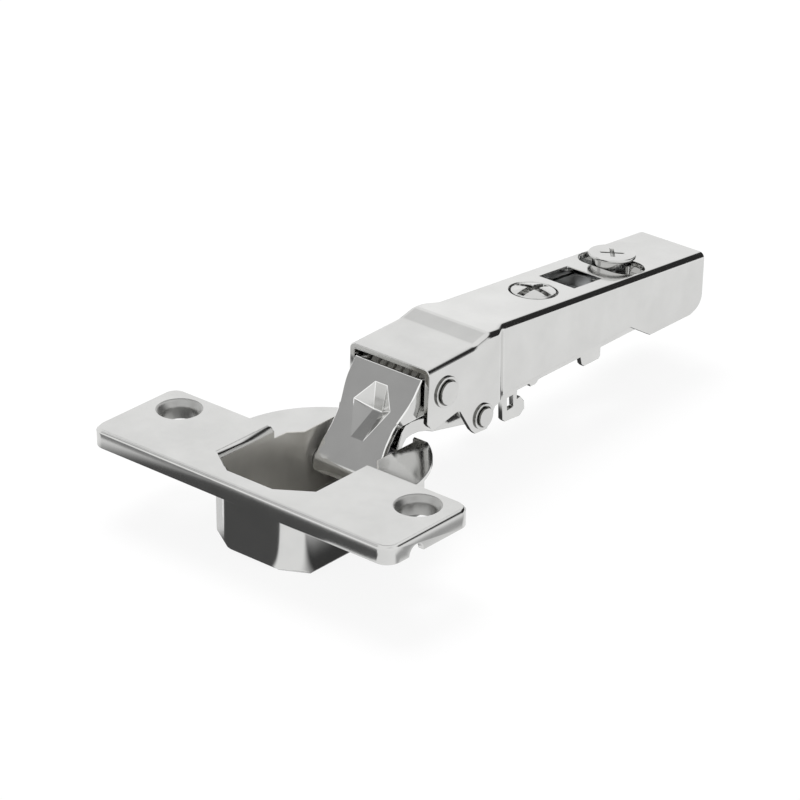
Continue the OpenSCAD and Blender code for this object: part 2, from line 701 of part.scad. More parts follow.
module adjust_plate() {
    color("darkgray") difference() {
        on_arm_top(cam_y) translate([-carrier_half_w, plate_y0 - cam_y, plate_top - plate_t])
            cube([2 * carrier_half_w, plate_y1 - plate_y0, plate_t]);
        on_arm_top(side_screw_y) translate([0, 0, -8]) cylinder(h = 8, r = side_thread_r + run_gap);
        on_arm_top(window_y) translate([-window_half, 0, -8]) cube([2 * window_half, 2 * window_half, 8]);
        on_arm_top(cam_y) translate([0, 0, -8]) cylinder(h = 8, r = cam_stem_r + run_gap);
    }
}

// Carrier: clips on the mounting plate with its front hooks and rear latch
function web_z(y) = rear_top(y) + web_top / cos(rear_slope);

module carrier_side() {
    z0 = -rail_drop;
    y0 = carrier_front_y;
    tab_end = rail_tab_y + rail_tab_len;
    difference() {
        polygon([[y0 + 2, web_z(y0 + 2)], [y0, web_z(y0 + 2) - 3], [y0 + 0.1, -hook_drop + 0.9],
                 [y0 + 0.7, -hook_drop + 0.3], [y0 + 4.6, -hook_drop], [y0 + 5.8, -hook_drop + 0.9],
                 [y0 + 5.7, -3.5], [y0 + 4.6, -2.2], [y0 + 3.8, -2.4], [y0 + 3.9, z0], [y0 + 7, z0],
                 [y0 + 7.4, z0 - 0.6], [y0 + 8.7, z0 - 0.6], [y0 + 9.6, z0], [rail_tab_y, z0],
                 [rail_tab_y + 0.3, z0 - rail_tab_drop + 0.6], [rail_tab_y + 0.9, z0 - rail_tab_drop],
                 [tab_end - 0.5, z0 - rail_tab_drop], [tab_end - 0.1, z0 - rail_tab_drop + 0.5],
                 [tab_end, z0], [carrier_rear_y, z0], [carrier_rear_y, web_z(carrier_rear_y)]]);
        translate([y0 + 1.2, -3.6]) square([1.7, 2.2]);
    }
}

module carrier() {
    inner_half = carrier_half_w - carrier_t;
    color("silver") difference() {
        across(2 * carrier_half_w) carrier_side();
        on_arm_top(cam_y)
            translate([-inner_half, -far, web_top - carrier_t - 30]) cube([2 * inner_half, 2 * far, 30]);
        translate([-inner_half, 0, -far / 2]) cube([2 * inner_half, carrier_front_y + 8, far]);
        on_arm_top(side_screw_y) translate([0, 0, -8]) linear_extrude(height = 8)
            slot2d([0, -1.4], [0, 1.4], side_thread_r + 0.3);
        on_arm_top(window_y)
            translate([-window_half, -1.2, -8]) cube([2 * window_half, 2 * window_half + 2.4, 8]);
        on_arm_top(cam_y) translate([0, 0, -8]) linear_extrude(height = 8)
            slot2d([-cam_throw * 0.3, 0], [cam_throw + 0.2, 0], cam_peg_r + peg_gap);
        bar(latch_axis, latch_pin_r, -far, far);
    }
}

// Depth cam: disc head over the arm, barrel in the oval hole, stem in the plate, eccentric peg in the carrier
cam_stem_r = 2.4;
cam_peg_r = 1.1;
peg_gap = 0.09;
module depth_cam() {
    color("silver") on_arm_top(cam_y) difference() {
        union() {
            translate([0, 0, cam_disc_rise - cam_disc_t]) cylinder(h = cam_disc_t, r = cam_disc_r);
            translate([0, 0, plate_top + 0.1])
                cylinder(h = cam_disc_rise - cam_disc_t - plate_top - 0.1 + eps, r = cam_barrel_r);
            translate([0, 0, web_top + 0.02]) cylinder(h = -web_top, r = cam_stem_r);
            translate([cam_throw, 0, web_top - carrier_t - 1.2]) cylinder(h = carrier_t + 2, r = cam_peg_r);
        }
        translate([0, 0, cam_disc_rise]) rotate([0, 0, 42]) cross_recess(cam_disc_r / 2, cam_disc_r / 6, 1.1);
    }
}

// Collar pressed on the end of the cam's peg, under the carrier's web
module cam_collar() {
    color("gray") on_arm_top(cam_y) translate([cam_throw, 0, web_top - carrier_t - 1.05]) difference() {
        cylinder(h = 1, r = 2.3);
        translate([0, 0, -1]) cylinder(h = 3, r = cam_peg_r);
    }
}

// Latch at the rear of the carrier
latch_axis = [carrier_rear_y - latch_pin_inset, latch_pin_z];
latch_half_w = carrier_half_w - carrier_t - latch_side_gap;
bar_y = latch_axis[0] + latch_reach * 0.82;
bar_drop = latch_lever_h * 0.2;

// Side wall of the lever in (y, z) from the pin
module latch_side() {
    h = latch_lever_h;
    l = latch_reach;
    t = latch_tooth_drop;
    translate(latch_axis)
        polygon([[-0.15 * l, -0.46 * h], [-0.15 * l, 0.54 * h], [0.41 * l, 0.42 * h], [0.59 * l, h], [l, h],
                 [l, -bar_drop], [0.73 * l, -0.47 * t], [0.66 * l, -t], [0.41 * l, -t], [0.43 * l, -0.56 * t],
                 [0.23 * l, -0.33 * t]]);
}

module latch_lever() {
    color("silver") difference() {
        union() {
            both_sides() across_from(latch_half_w - latch_t, latch_t) latch_side();
            translate([-latch_half_w, bar_y, latch_axis[1] - bar_drop])
                cube([2 * latch_half_w, latch_axis[0] + latch_reach - bar_y, latch_lever_h + bar_drop]);
        }
        bar(latch_axis, latch_pin_r + run_gap, -far, far);
    }
}
module latch_pin() color("dimgray") bar(latch_axis, latch_pin_r, -carrier_half_w, carrier_half_w);

// Latch spring: a torsion coil on the latch pin, one leg under the web and one on the lever
latch_wire_r = 0.3;
latch_coil_r = 1.3;
latch_turns = 7;
module latch_spring() {
    end_x = (latch_turns - 1) / 2 * coil_pitch * latch_wire_r;
    color("gray") {
        coil(0, latch_axis, latch_turns, latch_coil_r, latch_wire_r);
        wire_leg(-end_x, latch_axis + [0, latch_coil_r],
                 [latch_axis[0], web_z(latch_axis[0]) - carrier_t - 0.05], leg_ratio * latch_wire_r);
        wire_leg(end_x, latch_axis + [latch_coil_r, 0],
                 [bar_y - 0.02, latch_axis[1]], leg_ratio * latch_wire_r);
    }
}

cup();
outer_pin();
inner_pin();
closing_spring_left();
closing_spring_right();
outer_link();
inner_link();
arm();
front_rivet();
rear_rivet();
nose_spacer();
side_screw();
adjust_plate();
carrier();
depth_cam();
cam_collar();
latch_lever();
latch_pin();
latch_spring();
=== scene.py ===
"""Looks of a concealed cup hinge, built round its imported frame.

Pressed steel pieces are copies of the CAD nodes with rounded edges. Turned and coiled
pieces (rivets, pins, springs, spacer) are surfaces worked out on numpy grids. Sizes are
in millimetres in the frame's own axes, unless a name or docstring says metres.
"""

import json
import logging
import math
from contextlib import contextmanager
from dataclasses import dataclass, field
from enum import Enum
from typing import Callable, Iterator, Union

import bmesh
import bpy
import numpy as np
from mathutils import Matrix, Vector
from mathutils.bvhtree import BVHTree


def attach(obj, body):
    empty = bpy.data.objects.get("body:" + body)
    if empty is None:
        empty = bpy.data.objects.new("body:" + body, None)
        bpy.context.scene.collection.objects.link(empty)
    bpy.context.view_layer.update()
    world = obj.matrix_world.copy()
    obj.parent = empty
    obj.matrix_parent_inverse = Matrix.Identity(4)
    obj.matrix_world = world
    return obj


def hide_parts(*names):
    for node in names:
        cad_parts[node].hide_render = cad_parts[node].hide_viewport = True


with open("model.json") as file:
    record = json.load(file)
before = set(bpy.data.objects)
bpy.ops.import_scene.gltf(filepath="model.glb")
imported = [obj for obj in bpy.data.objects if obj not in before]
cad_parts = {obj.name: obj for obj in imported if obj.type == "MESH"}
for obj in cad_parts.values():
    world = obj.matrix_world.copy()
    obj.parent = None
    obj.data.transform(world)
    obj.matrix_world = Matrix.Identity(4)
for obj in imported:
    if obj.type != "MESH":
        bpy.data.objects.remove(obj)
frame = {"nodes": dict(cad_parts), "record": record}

LOG = logging.getLogger("hinge")
MM = 0.001

# Points of a new surface nearer than SEAM_M metres are one, and so are points of a CAD
# mesh nearer than WELD_M; its faces that turn by less than FLAT_DEG become one face.
SEAM_M = 1e-7
WELD_M = 1e-6
FLAT_DEG = 0.3

X_AXIS = Vector((1, 0, 0))
Z_AXIS = Vector((0, 0, 1))

Number = Union[int, float]
Span = tuple[float, float]
Point = tuple[float, float, float]
Tone = tuple[float, float, float]
Colour = tuple[float, float, float, float]
Profile = list[Span]
Faces = list[list[int]]
Surface = tuple[np.ndarray, Faces]


# Colours


def grey(level: float) -> Colour:
    """Returns a neutral colour of that level."""
    return (level, level, level, 1.0)


def shade(tone: Tone, factor: float) -> Colour:
    """Returns the tone times a factor, as a colour that doesn't pass 1."""
    return tuple(min(channel * factor, 1.0) for channel in tone) + (1.0,)


# Shader expressions


class Value:
    """A shader socket that adds Math nodes when it is used in an expression."""

    def __init__(self, graph: "Graph", socket: bpy.types.NodeSocket) -> None:
        """Wraps a socket.

        Args:
            graph: The graph that new nodes are added to.
            socket: The output socket that carries the value.
        """
        self.graph = graph
        self.socket = socket

    def _math(self, operation: str, first: "Operand", second: "Operand") -> "Value":
        """Adds one Math node and returns its result."""
        settings = {"operation": operation}
        return self.graph.node("ShaderNodeMath", settings, {0: first, 1: second})["Value"]

    def __add__(self, other: "Operand") -> "Value":
        """Returns self + other."""
        return self._math("ADD", self, other)

    def __rsub__(self, other: Number) -> "Value":
        """Returns other - self."""
        return self._math("SUBTRACT", other, self)

    def __mul__(self, other: "Operand") -> "Value":
        """Returns self * other."""
        return self._math("MULTIPLY", self, other)

    def larger(self, other: "Operand") -> "Value":
        """Returns the larger of self and other."""
        return self._math("MAXIMUM", self, other)

    def smaller(self, other: "Operand") -> "Value":
        """Returns the smaller of self and other."""
        return self._math("MINIMUM", self, other)

    def rise(self, low: float, high: float) -> "Value":
        """Makes a smooth step of the value.

        Args:
            low: Where the step is 0 and starts to rise.
            high: Where it reaches 1.

        Returns:
            The step, between 0 and 1.
        """
        settings = {"interpolation_type": "SMOOTHSTEP"}
        inputs = {"Value": self, "From Min": low, "From Max": high}
        return self.graph.node("ShaderNodeMapRange", settings, inputs)["Result"]


Operand = Union[Value, Number]


class NodeResult:
    """The outputs of one shader node, read by name."""

    def __init__(self, graph: "Graph", node: bpy.types.Node) -> None:
        """Wraps a node.

        Args:
            graph: The graph that the node is in.
            node: The node.
        """
        self.graph = graph
        self.node = node

    def __getitem__(self, name: str) -> Value:
        """Returns the output called name."""
        return Value(self.graph, self.node.outputs[name])


class Graph:
    """One node tree that is built from scratch."""

    def __init__(self, tree: bpy.types.NodeTree) -> None:
        """Clears the tree.

        Args:
            tree: The node tree of a material or of the world.
        """
        self.tree = tree
        tree.nodes.clear()

    def node(
        self,
        kind: str,
        settings: dict | None = None,
        inputs: dict | None = None,
    ) -> NodeResult:
        """Adds one node.

        Args:
            kind: The node's type.
            settings: Attributes to set before the sockets; "stops" sets a ramp's stops.
            inputs: Values or links of its sockets, by name or number.

        Returns:
            The node's outputs.
        """
        made = self.tree.nodes.new(kind)
        for name, value in (settings or {}).items():
            if name == "stops":
                self._set_stops(made, value)
            else:
                setattr(made, name, value)
        for name, value in (inputs or {}).items():
            if isinstance(value, Value):
                self.tree.links.new(value.socket, made.inputs[name])
            else:
                made.inputs[name].default_value = value
        return NodeResult(self, made)

    def noise(self, place: Value, scale: float, detail: float) -> Value:
        """Returns a cloud noise between 0 and 1 with that scale and detail."""
        inputs = {"Vector": place, "Scale": scale, "Detail": detail}
        return self.node("ShaderNodeTexNoise", {}, inputs)["Fac"]

    def place(self) -> Value:
        """Returns the place on the piece, in its own coordinates."""
        return self.node("ShaderNodeTexCoord")["Object"]

    def tones(self, tone: Tone, spread: float, ends: Span, cloud: Value) -> Value:
        """Lets a tone drift with a cloud noise, from a duller to a brighter one.

        Args:
            tone: The middle tone.
            spread: How far the two ends lie from it, as a share.
            ends: The noise's values at the dull and at the bright end.
            cloud: The noise.

        Returns:
            The colour.
        """
        stops = [(ends[0], shade(tone, 1 - spread)), (ends[1], shade(tone, 1 + spread))]
        return self.node("ShaderNodeValToRGB", {"stops": stops}, {"Fac": cloud})["Color"]

    def bump(self, height: Value, depth: float) -> Value:
        """Returns the normal of a relief of that height, times a depth in metres."""
        inputs = {"Strength": 1.0, "Distance": depth, "Height": height}
        return self.node("ShaderNodeBump", {}, inputs)["Normal"]

    def emission(self, level: Operand) -> Value:
        """Returns white light of that level."""
        inputs = {"Color": grey(1.0), "Strength": level}
        return self.node("ShaderNodeEmission", {}, inputs)["Emission"]

    def background(self, level: float) -> Value:
        """Returns a white world of that level."""
        inputs = {"Color": grey(1.0), "Strength": level}
        return self.node("ShaderNodeBackground", {}, inputs)["Background"]

    def mixed(self, share: Value, first: Value, second: Value) -> Value:
        """Returns the first shader where the share is 0 and the second where it is 1."""
        return self.node("ShaderNodeMixShader", {}, {0: share, 1: first, 2: second})["Shader"]

    def output(self, shader: Value, kind: str = "ShaderNodeOutputMaterial") -> None:
        """Makes a shader the surface of the material, or of the world for its kind."""
        self.node(kind, {}, {"Surface": shader})

    @staticmethod
    def _set_stops(ramp: bpy.types.Node, stops: list[tuple[float, Colour]]) -> None:
        """Gives a colour ramp its two stops.

        Args:
            ramp: The ramp's node, which has two stops from the start.
            stops: (position, colour) pairs.
        """
        for element, (position, colour) in zip(ramp.color_ramp.elements, stops):
            element.position = position
            element.color = colour


def new_material(name: str) -> tuple[bpy.types.Material, Graph]:
    """Makes an empty material.

    Args:
        name: Its name.

    Returns:
        The material and its graph.
    """
    material = bpy.data.materials.new(name)
    material.use_nodes = True
    return material, Graph(material.node_tree)


# Finishes


@dataclass(frozen=True)
class Metal:
    """A plated or cold-worked metal finish: tone, gloss and the fine waviness of the sheet."""

    name: str
    tone: Tone = (0.67, 0.67, 0.66)
    tone_spread: float = 0.04
    tone_ends: Span = (0.3, 0.7)
    roughness: float = 0.11
    roughness_spread: float = 0.05
    metallic: float = 1.0
    cloud_scale: float = 160.0
    cloud_detail: float = 3.0
    wave_scale: float = 70.0
    wave_detail: float = 1.0
    wave_depth: float = 0.00003
    grain_scale: float = 3500.0
    grain_detail: float = 2.0
    grain_share: float = 0.015

    def material(self) -> bpy.types.Material:
        """Builds the material.

        One slow cloud noise moves the tone and the roughness, and two noises (press
        waves and fine grain) feed the bump.

        Returns:
            The new material.
        """
        material, graph = new_material(self.name)
        place = graph.place()
        cloud = graph.noise(place, self.cloud_scale, self.cloud_detail)
        waves = graph.noise(place, self.wave_scale, self.wave_detail)
        grain = graph.noise(place, self.grain_scale, self.grain_detail)
        least_rough = self.roughness - self.roughness_spread / 2
        inputs = {
            "Base Color": graph.tones(self.tone, self.tone_spread, self.tone_ends, cloud),
            "Metallic": self.metallic,
            "Roughness": cloud * self.roughness_spread + least_rough,
            "Normal": graph.bump(waves + grain * self.grain_share, self.wave_depth),
        }
        graph.output(graph.node("ShaderNodeBsdfPrincipled", {}, inputs)["BSDF"])
        return material


@dataclass(frozen=True)
class Moulded:
    """A moulded plastic finish with a fine satin texture."""

    name: str
    tone: Tone = (0.6, 0.59, 0.55)
    tone_spread: float = 0.1
    tone_ends: Span = (0.35, 0.65)
    roughness: float = 0.4
    roughness_spread: float = 0.1
    grain_scale: float = 3000.0
    grain_detail: float = 3.0
    grain_depth: float = 0.00001

    def material(self) -> bpy.types.Material:
        """Builds the material.

        One fine noise moves the tone and the roughness and feeds the bump.

        Returns:
            The new material.
        """
        material, graph = new_material(self.name)
        grain = graph.noise(graph.place(), self.grain_scale, self.grain_detail)
        inputs = {
            "Base Color": graph.tones(self.tone, self.tone_spread, self.tone_ends, grain),
            "Roughness": grain * self.roughness_spread + (self.roughness - self.roughness_spread / 2),
            "Normal": graph.bump(grain, self.grain_depth),
        }
        graph.output(graph.node("ShaderNodeBsdfPrincipled", {}, inputs)["BSDF"])
        return material


class Finish(Enum):
    """The finishes that the hinge's pieces have; some of them carry painted shade or a painted
    highlight.
    """

    NICKEL = Metal("bright_nickel")
    CUP_NICKEL = Metal("cup_nickel", roughness=0.14, wave_depth=0.00004)
    LINK = Metal("link_nickel", roughness=0.1, wave_depth=0.00002)
    RIVET = Metal("rivet_nickel", tone=(0.64, 0.64, 0.63), roughness=0.13)
    SCREW = Metal("screw_nickel", tone=(0.66, 0.66, 0.65), roughness=0.12)
    PIN = Metal("pin_steel", tone=(0.42, 0.42, 0.42), roughness=0.24)
    SPRING = Metal("spring_wire", tone=(0.3, 0.3, 0.31), roughness=0.3)
    ZINC = Metal("satin_zinc", tone=(0.42, 0.43, 0.44), roughness=0.32)
    # Painted shade: a dark finish for the rivets' head walls, grooves and flange edges, where shade and
    # dark rims fall.
    PAINTED_SHADE_EDGE = Metal("painted_shade_rings", tone=(0.2, 0.2, 0.19), roughness=0.2)
    # Painted shade: the cup's inside has a darker tone than the flange, as shade in the recess.
    POCKET_SHADE = Metal(
        "cup_inside_painted_shade",
        tone=(0.56, 0.55, 0.52),
        tone_spread=0.08,
        roughness=0.3,
        roughness_spread=0.1,
        metallic=0.55,
    )
    # Painted shade: the countersinks have a darker tone than the flange, as shade in the cones.
    SINK_SHADE = Metal(
        "countersink",
        tone=(0.43, 0.43, 0.42),
        tone_spread=0.06,
        roughness=0.38,
        metallic=0.95,
    )
    # Painted highlight: a bright finish on the outer link's rounded edges, in place of the glints that
    # light gives them.
    PAINTED_HIGHLIGHT_EDGE = Metal("painted_highlight_edge", tone=(0.9, 0.9, 0.89), roughness=0.14)
    SPACER = Moulded("grey_moulding")


SLOT_FINISH = {
    "nickel_plate": Finish.NICKEL,
    "rivet_steel": Finish.RIVET,
    "screw_steel": Finish.SCREW,
    "pin_steel": Finish.PIN,
    "spring_steel": Finish.SPRING,
    "zinc_plate": Finish.ZINC,
    "grey_plastic": Finish.SPACER,
}


class Paints:
    """Builds each finish's material once."""

    def __init__(self) -> None:
        """Starts with no materials."""
        self.made: dict[Finish, bpy.types.Material] = {}

    def get(self, finish: Finish) -> bpy.types.Material:
        """Gives out the material of a finish, which is built at its first use.

        Args:
            finish: The finish.

        Returns:
            Its one material.
        """
        if finish not in self.made:
            self.made[finish] = finish.value.material()
        return self.made[finish]


# Surfaces on grids


def smooth_step(place: np.ndarray, ends: Span) -> np.ndarray:
    """Rises smoothly from 0 to 1 between two ends: t t (3 - 2 t).

    Args:
        place: Where the step is read.
        ends: Where it starts and where it is done.

    Returns:
        The step at each place.
    """
    t = np.clip((place - ends[0]) / (ends[1] - ends[0]), 0, 1)
    return t * t * (3 - 2 * t)


def grid_faces(rows: int, columns: int, wrap_rows: bool = False) -> Faces:
    """Returns the quads of a grid of points whose last column meets its first.

    Args:
        rows: Number of rows of points.
        columns: Number of points in a row.
        wrap_rows: True joins the last row to the first as well.

    Returns:
        A list of four point numbers for each quad.
    """
    row = np.arange(rows if wrap_rows else rows - 1)[:, None]
    column = np.arange(columns)[None, :]
    here = row * columns
    above = (row + 1) % rows * columns
    after = (column + 1) % columns
    quads = np.stack([here + column, here + after, above + after, above + column], axis=-1)
    return quads.reshape(-1, 4).tolist()


def capped(rings: np.ndarray) -> Surface:
    """Joins rings of points into a skin that is closed by a face at each end.

    Args:
        rings: Points as (ring, point, xyz).

    Returns:
        The points and faces.
    """
    count, around = rings.shape[:2]
    faces = grid_faces(count, around)
    faces.append(list(range(around))[::-1])
    faces.append(list(range((count - 1) * around, count * around)))
    return rings.reshape(-1, 3), faces


@dataclass(frozen=True)
class Axis:
    """A straight axis in the row frame, in millimetres."""

    origin: Point
    direction: Point

    def place(self, points: np.ndarray) -> np.ndarray:
        """Turns points about local z onto this axis: p = origin + turn * local.

        Args:
            points: Points with the axis as local z.

        Returns:
            The points in the row frame, in millimetres.
        """
        turn = Z_AXIS.rotation_difference(Vector(self.direction)).to_matrix()
        return points @ np.array(turn).T + np.array(self.origin)


def along_x(y: float, z: float) -> Axis:
    """Returns the axis along X through (y, z)."""
    return Axis((0.0, y, z), (1.0, 0.0, 0.0))


def spun_rings(profile: Profile, around: int) -> np.ndarray:
    """Spins a profile about local z: (r cos a, r sin a, h).

    Args:
        profile: (radius, height) pairs.
        around: Number of points round the axis.

    Returns:
        Points as (pair, angle, xyz).
    """
    line = np.array(profile, dtype=float)
    angle = np.linspace(0, 2 * math.pi, around, endpoint=False)
    radius = line[:, :1]
    height = np.broadcast_to(line[:, 1:], (len(line), around))
    return np.stack([radius * np.cos(angle), radius * np.sin(angle), height], axis=-1)


def turned(profile: Profile, axis: Axis, around: int = 72) -> Surface:
    """Returns a solid of revolution whose profile runs from end to end.

    Args:
        profile: (radius, height) pairs; the first and last get a flat end.
        axis: Where it stands.
        around: Number of points round the axis.

    Returns:
        Points in millimetres and faces.
    """
    points, faces = capped(spun_rings(profile, around))
    return axis.place(points), faces


def turned_ring(profile: Profile, axis: Axis, around: int = 72) -> Surface:
    """Returns a ring of revolution whose profile is a closed loop.

    Args:
        profile: (radius, height) pairs, once round the loop.
        axis: Where it stands.
        around: Number of points round the axis.

    Returns:
        Points in millimetres and faces.
    """
    rings = spun_rings(profile, around)
    return axis.place(rings.reshape(-1, 3)), grid_faces(len(profile), around, wrap_rows=True)


def fillet(centre: Span, size: float, start_deg: float, end_deg: float, steps: int = 5) -> Profile:
    """Rounds a corner of a profile by an arc: centre + size (cos a, sin a).

    Args:
        centre: (radius, height) of the arc's centre.
        size: The arc's own radius.
        start_deg: Angle of its first point.
        end_deg: Angle of its last point.
        steps: Number of points.

    Returns:
        (radius, height) pairs.
    """
    angle = np.radians(np.linspace(start_deg, end_deg, steps))
    return list(zip(centre[0] + size * np.cos(angle), centre[1] + size * np.sin(angle)))


def wire(path: np.ndarray, radius: float, around: int = 16) -> Surface:
    """Carries a circle along a path: p = path(t) + r (side cos a + other sin a).

    The side direction is the tangent crossed with X, and other is the tangent crossed
    with side, so the path must nowhere run along X.

    Args:
        path: Points of the centre line, in millimetres.
        radius: The wire's radius.
        around: Points round the wire.

    Returns:
        Points in millimetres and faces.
    """
    tangent = np.gradient(path, axis=0)
    tangent /= np.linalg.norm(tangent, axis=1, keepdims=True)
    side = np.cross(tangent, np.array(X_AXIS))
    side /= np.linalg.norm(side, axis=1, keepdims=True)
    other = np.cross(tangent, side)
    angle = np.linspace(0, 2 * math.pi, around, endpoint=False)[None, :, None]
    spokes = side[:, None] * np.cos(angle) + other[:, None] * np.sin(angle)
    return capped(path[:, None] + radius * spokes)


def coil_path(axis: Axis, radius: np.ndarray, angle: np.ndarray, x: np.ndarray) -> np.ndarray:
    """Returns points round an axis along X: (x, y0 + r cos a, z0 + r sin a).

    Args:
        axis: The coil's axis.
        radius: Distance from the axis, for each point.
        angle: Angle from +Y towards +Z, for each point, in radians.
        x: Place along X, for each point.

    Returns:
        The points, in millimetres.
    """
    _, y0, z0 = axis.origin
    return np.stack([x, y0 + radius * np.cos(angle), z0 + radius * np.sin(angle)], axis=-1)


def straight(start: Point, end: Point, steps: int = 8) -> np.ndarray:
    """Returns points from start to just before end: start + t (end - start)."""
    t = np.linspace(0, 1, steps, endpoint=False)[:, None]
    return np.array(start) + t * (np.array(end) - np.array(start))


# Mesh objects


@contextmanager
def open_mesh(mesh: bpy.types.Mesh) -> Iterator[bmesh.types.BMesh]:
    """Lends a mesh out for editing and takes the changes over afterwards.

    Args:
        mesh: The mesh.

    Yields:
        Its editable form.
    """
    work = bmesh.new()
    work.from_mesh(mesh)
    yield work
    work.to_mesh(mesh)
    work.free()


def linked(name: str, data: bpy.types.ID) -> bpy.types.Object:
    """Makes an object and links it to the scene.

    Args:
        name: Its name.
        data: Its mesh, camera or light.

    Returns:
        The object.
    """
    made = bpy.data.objects.new(name, data)
    bpy.context.scene.collection.objects.link(made)
    return made


def mesh_object(name: str, surface: Surface, paint: bpy.types.Material) -> bpy.types.Object:
    """Makes a mesh object with outward faces.

    Args:
        name: The object's name.
        surface: Points in millimetres, in the row frame, and faces.
        paint: Its material.

    Returns:
        The object, linked to the scene.
    """
    points, faces = surface
    mesh = bpy.data.meshes.new(name)
    mesh.from_pydata((points * MM).tolist(), [], faces)
    with open_mesh(mesh) as work:
        bmesh.ops.remove_doubles(work, verts=work.verts, dist=SEAM_M)
        bmesh.ops.recalc_face_normals(work, faces=work.faces)
    mesh.materials.append(paint)
    return linked(name, mesh)


def smooth(piece: bpy.types.Object, angle_deg: float = 32.0) -> None:
    """Shades a piece smooth but for its sharp edges.

    Args:
        piece: The piece.
        angle_deg: Edges whose faces turn by more than this stay sharp.
    """
    mesh = piece.data
    mesh.polygons.foreach_set("use_smooth", np.ones(len(mesh.polygons), dtype=bool))
    mesh.set_sharp_from_angle(angle=math.radians(angle_deg))


def points_of(mesh: bpy.types.Mesh) -> np.ndarray:
    """Reads a mesh's points.

    Args:
        mesh: The mesh.

    Returns:
        The points in metres, one in each row.
    """
    points = np.empty(len(mesh.vertices) * 3)
    mesh.vertices.foreach_get("co", points)
    return points.reshape(-1, 3)


def bake_modifiers(piece: bpy.types.Object) -> None:
    """Puts a piece's evaluated mesh in place of its mesh and drops the modifiers.

    Args:
        piece: The piece.
    """
    graph = bpy.context.evaluated_depsgraph_get()
    graph.update()
    result = bpy.data.meshes.new_from_object(piece.evaluated_get(graph))
    piece.modifiers.clear()
    piece.data = result


@dataclass(frozen=True)
class Dressing:
    """How a CAD node is finished: its metal, its rounded edges and its crisp folds.

    The bevel rounds edges that turn by more than bevel_from_deg, or without that angle
    those that the shape gives a weight. Edges below roll_deg are shaded as one roll,
    but for folds along fold_axis (0 for X, 1 for Y, 2 for Z) that turn by fold_deg.
    """

    finish: Finish
    bevel: float
    edge: Finish = Finish.NICKEL
    bevel_from_deg: float | None = 62.0
    roll_deg: float = 58.0
    fold_axis: int = 0
    fold_deg: Span = (90.0, 90.0)
    fold_least: float = 4.0
    fold_straight: float = 0.98
    segments: int = 3
    stray_share: float = 0.6
    face_weight: int = 90
    shape: Callable[[bpy.types.Mesh], None] | None = None


def joined_mesh(node: str) -> bpy.types.Mesh:
    """Copies a CAD node's mesh and joins its loose and flat faces.

    Args:
        node: The CAD node.

    Returns:
        The copy, without the shading that it was imported with.
    """
    mesh = frame["nodes"][node].data.copy()
    mesh.name = node + "_dressed"
    with open_mesh(mesh) as work:
        bmesh.ops.remove_doubles(work, verts=work.verts, dist=WELD_M)
        bmesh.ops.dissolve_degenerate(work, edges=work.edges, dist=WELD_M)
        flat = math.radians(FLAT_DEG)
        bmesh.ops.dissolve_limit(work, angle_limit=flat, verts=work.verts, edges=work.edges)
    if "custom_normal" in mesh.attributes:
        mesh.attributes.remove(mesh.attributes["custom_normal"])
    return mesh


def keep_folds(mesh: bpy.types.Mesh, look: Dressing) -> None:
    """Marks the folds that run along the dressing's axis as sharp.

    Args:
        mesh: The piece's mesh.
        look: Its dressing.
    """
    low, high = (math.radians(angle) for angle in look.fold_deg)
    with open_mesh(mesh) as work:
        for edge in work.edges:
            run = edge.verts[1].co - edge.verts[0].co
            least = max(look.fold_least * MM, look.fold_straight * run.length)
            if abs(run[look.fold_axis]) > least and low < edge.calc_face_angle(0.0) < high:
                edge.smooth = False


def solid_tree(mesh: bpy.types.Mesh) -> BVHTree:
    """Sorts a mesh's faces for quick searches by place.

    Args:
        mesh: The mesh.

    Returns:
        The search tree.
    """
    work = bmesh.new()
    work.from_mesh(mesh)
    tree = BVHTree.FromBMesh(work)
    work.free()
    return tree


def recall_strays(mesh: bpy.types.Mesh, solid: BVHTree, reach: float) -> int:
    """Moves stray points of a rounded mesh back between their neighbours.

    A bevel can throw a point far off where edges are very short. A point is stray where
    it lies further than reach from the solid's surface, and it goes to the mean of its
    steady neighbours, or else to the nearest place on the surface.

    Args:
        mesh: The rounded mesh.
        solid: The faces of the mesh before its round.
        reach: Largest distance of a steady point, in metres.

    Returns:
        The number of stray points.
    """
    with open_mesh(mesh) as work:
        stray = {vert for vert in work.verts if solid.find_nearest(vert.co)[3] > reach}
        found = len(stray)
        while stray:
            places = {}
            for vert in stray:
                others = [edge.other_vert(vert) for edge in vert.link_edges]
                steady = [other.co for other in others if other not in stray]
                if steady:
                    places[vert] = sum(steady, Vector()) / len(steady)
            if not places:
                places = {vert: solid.find_nearest(vert.co)[0] for vert in stray}
            for vert, place in places.items():
                vert.co = place
            stray -= set(places)
    return found


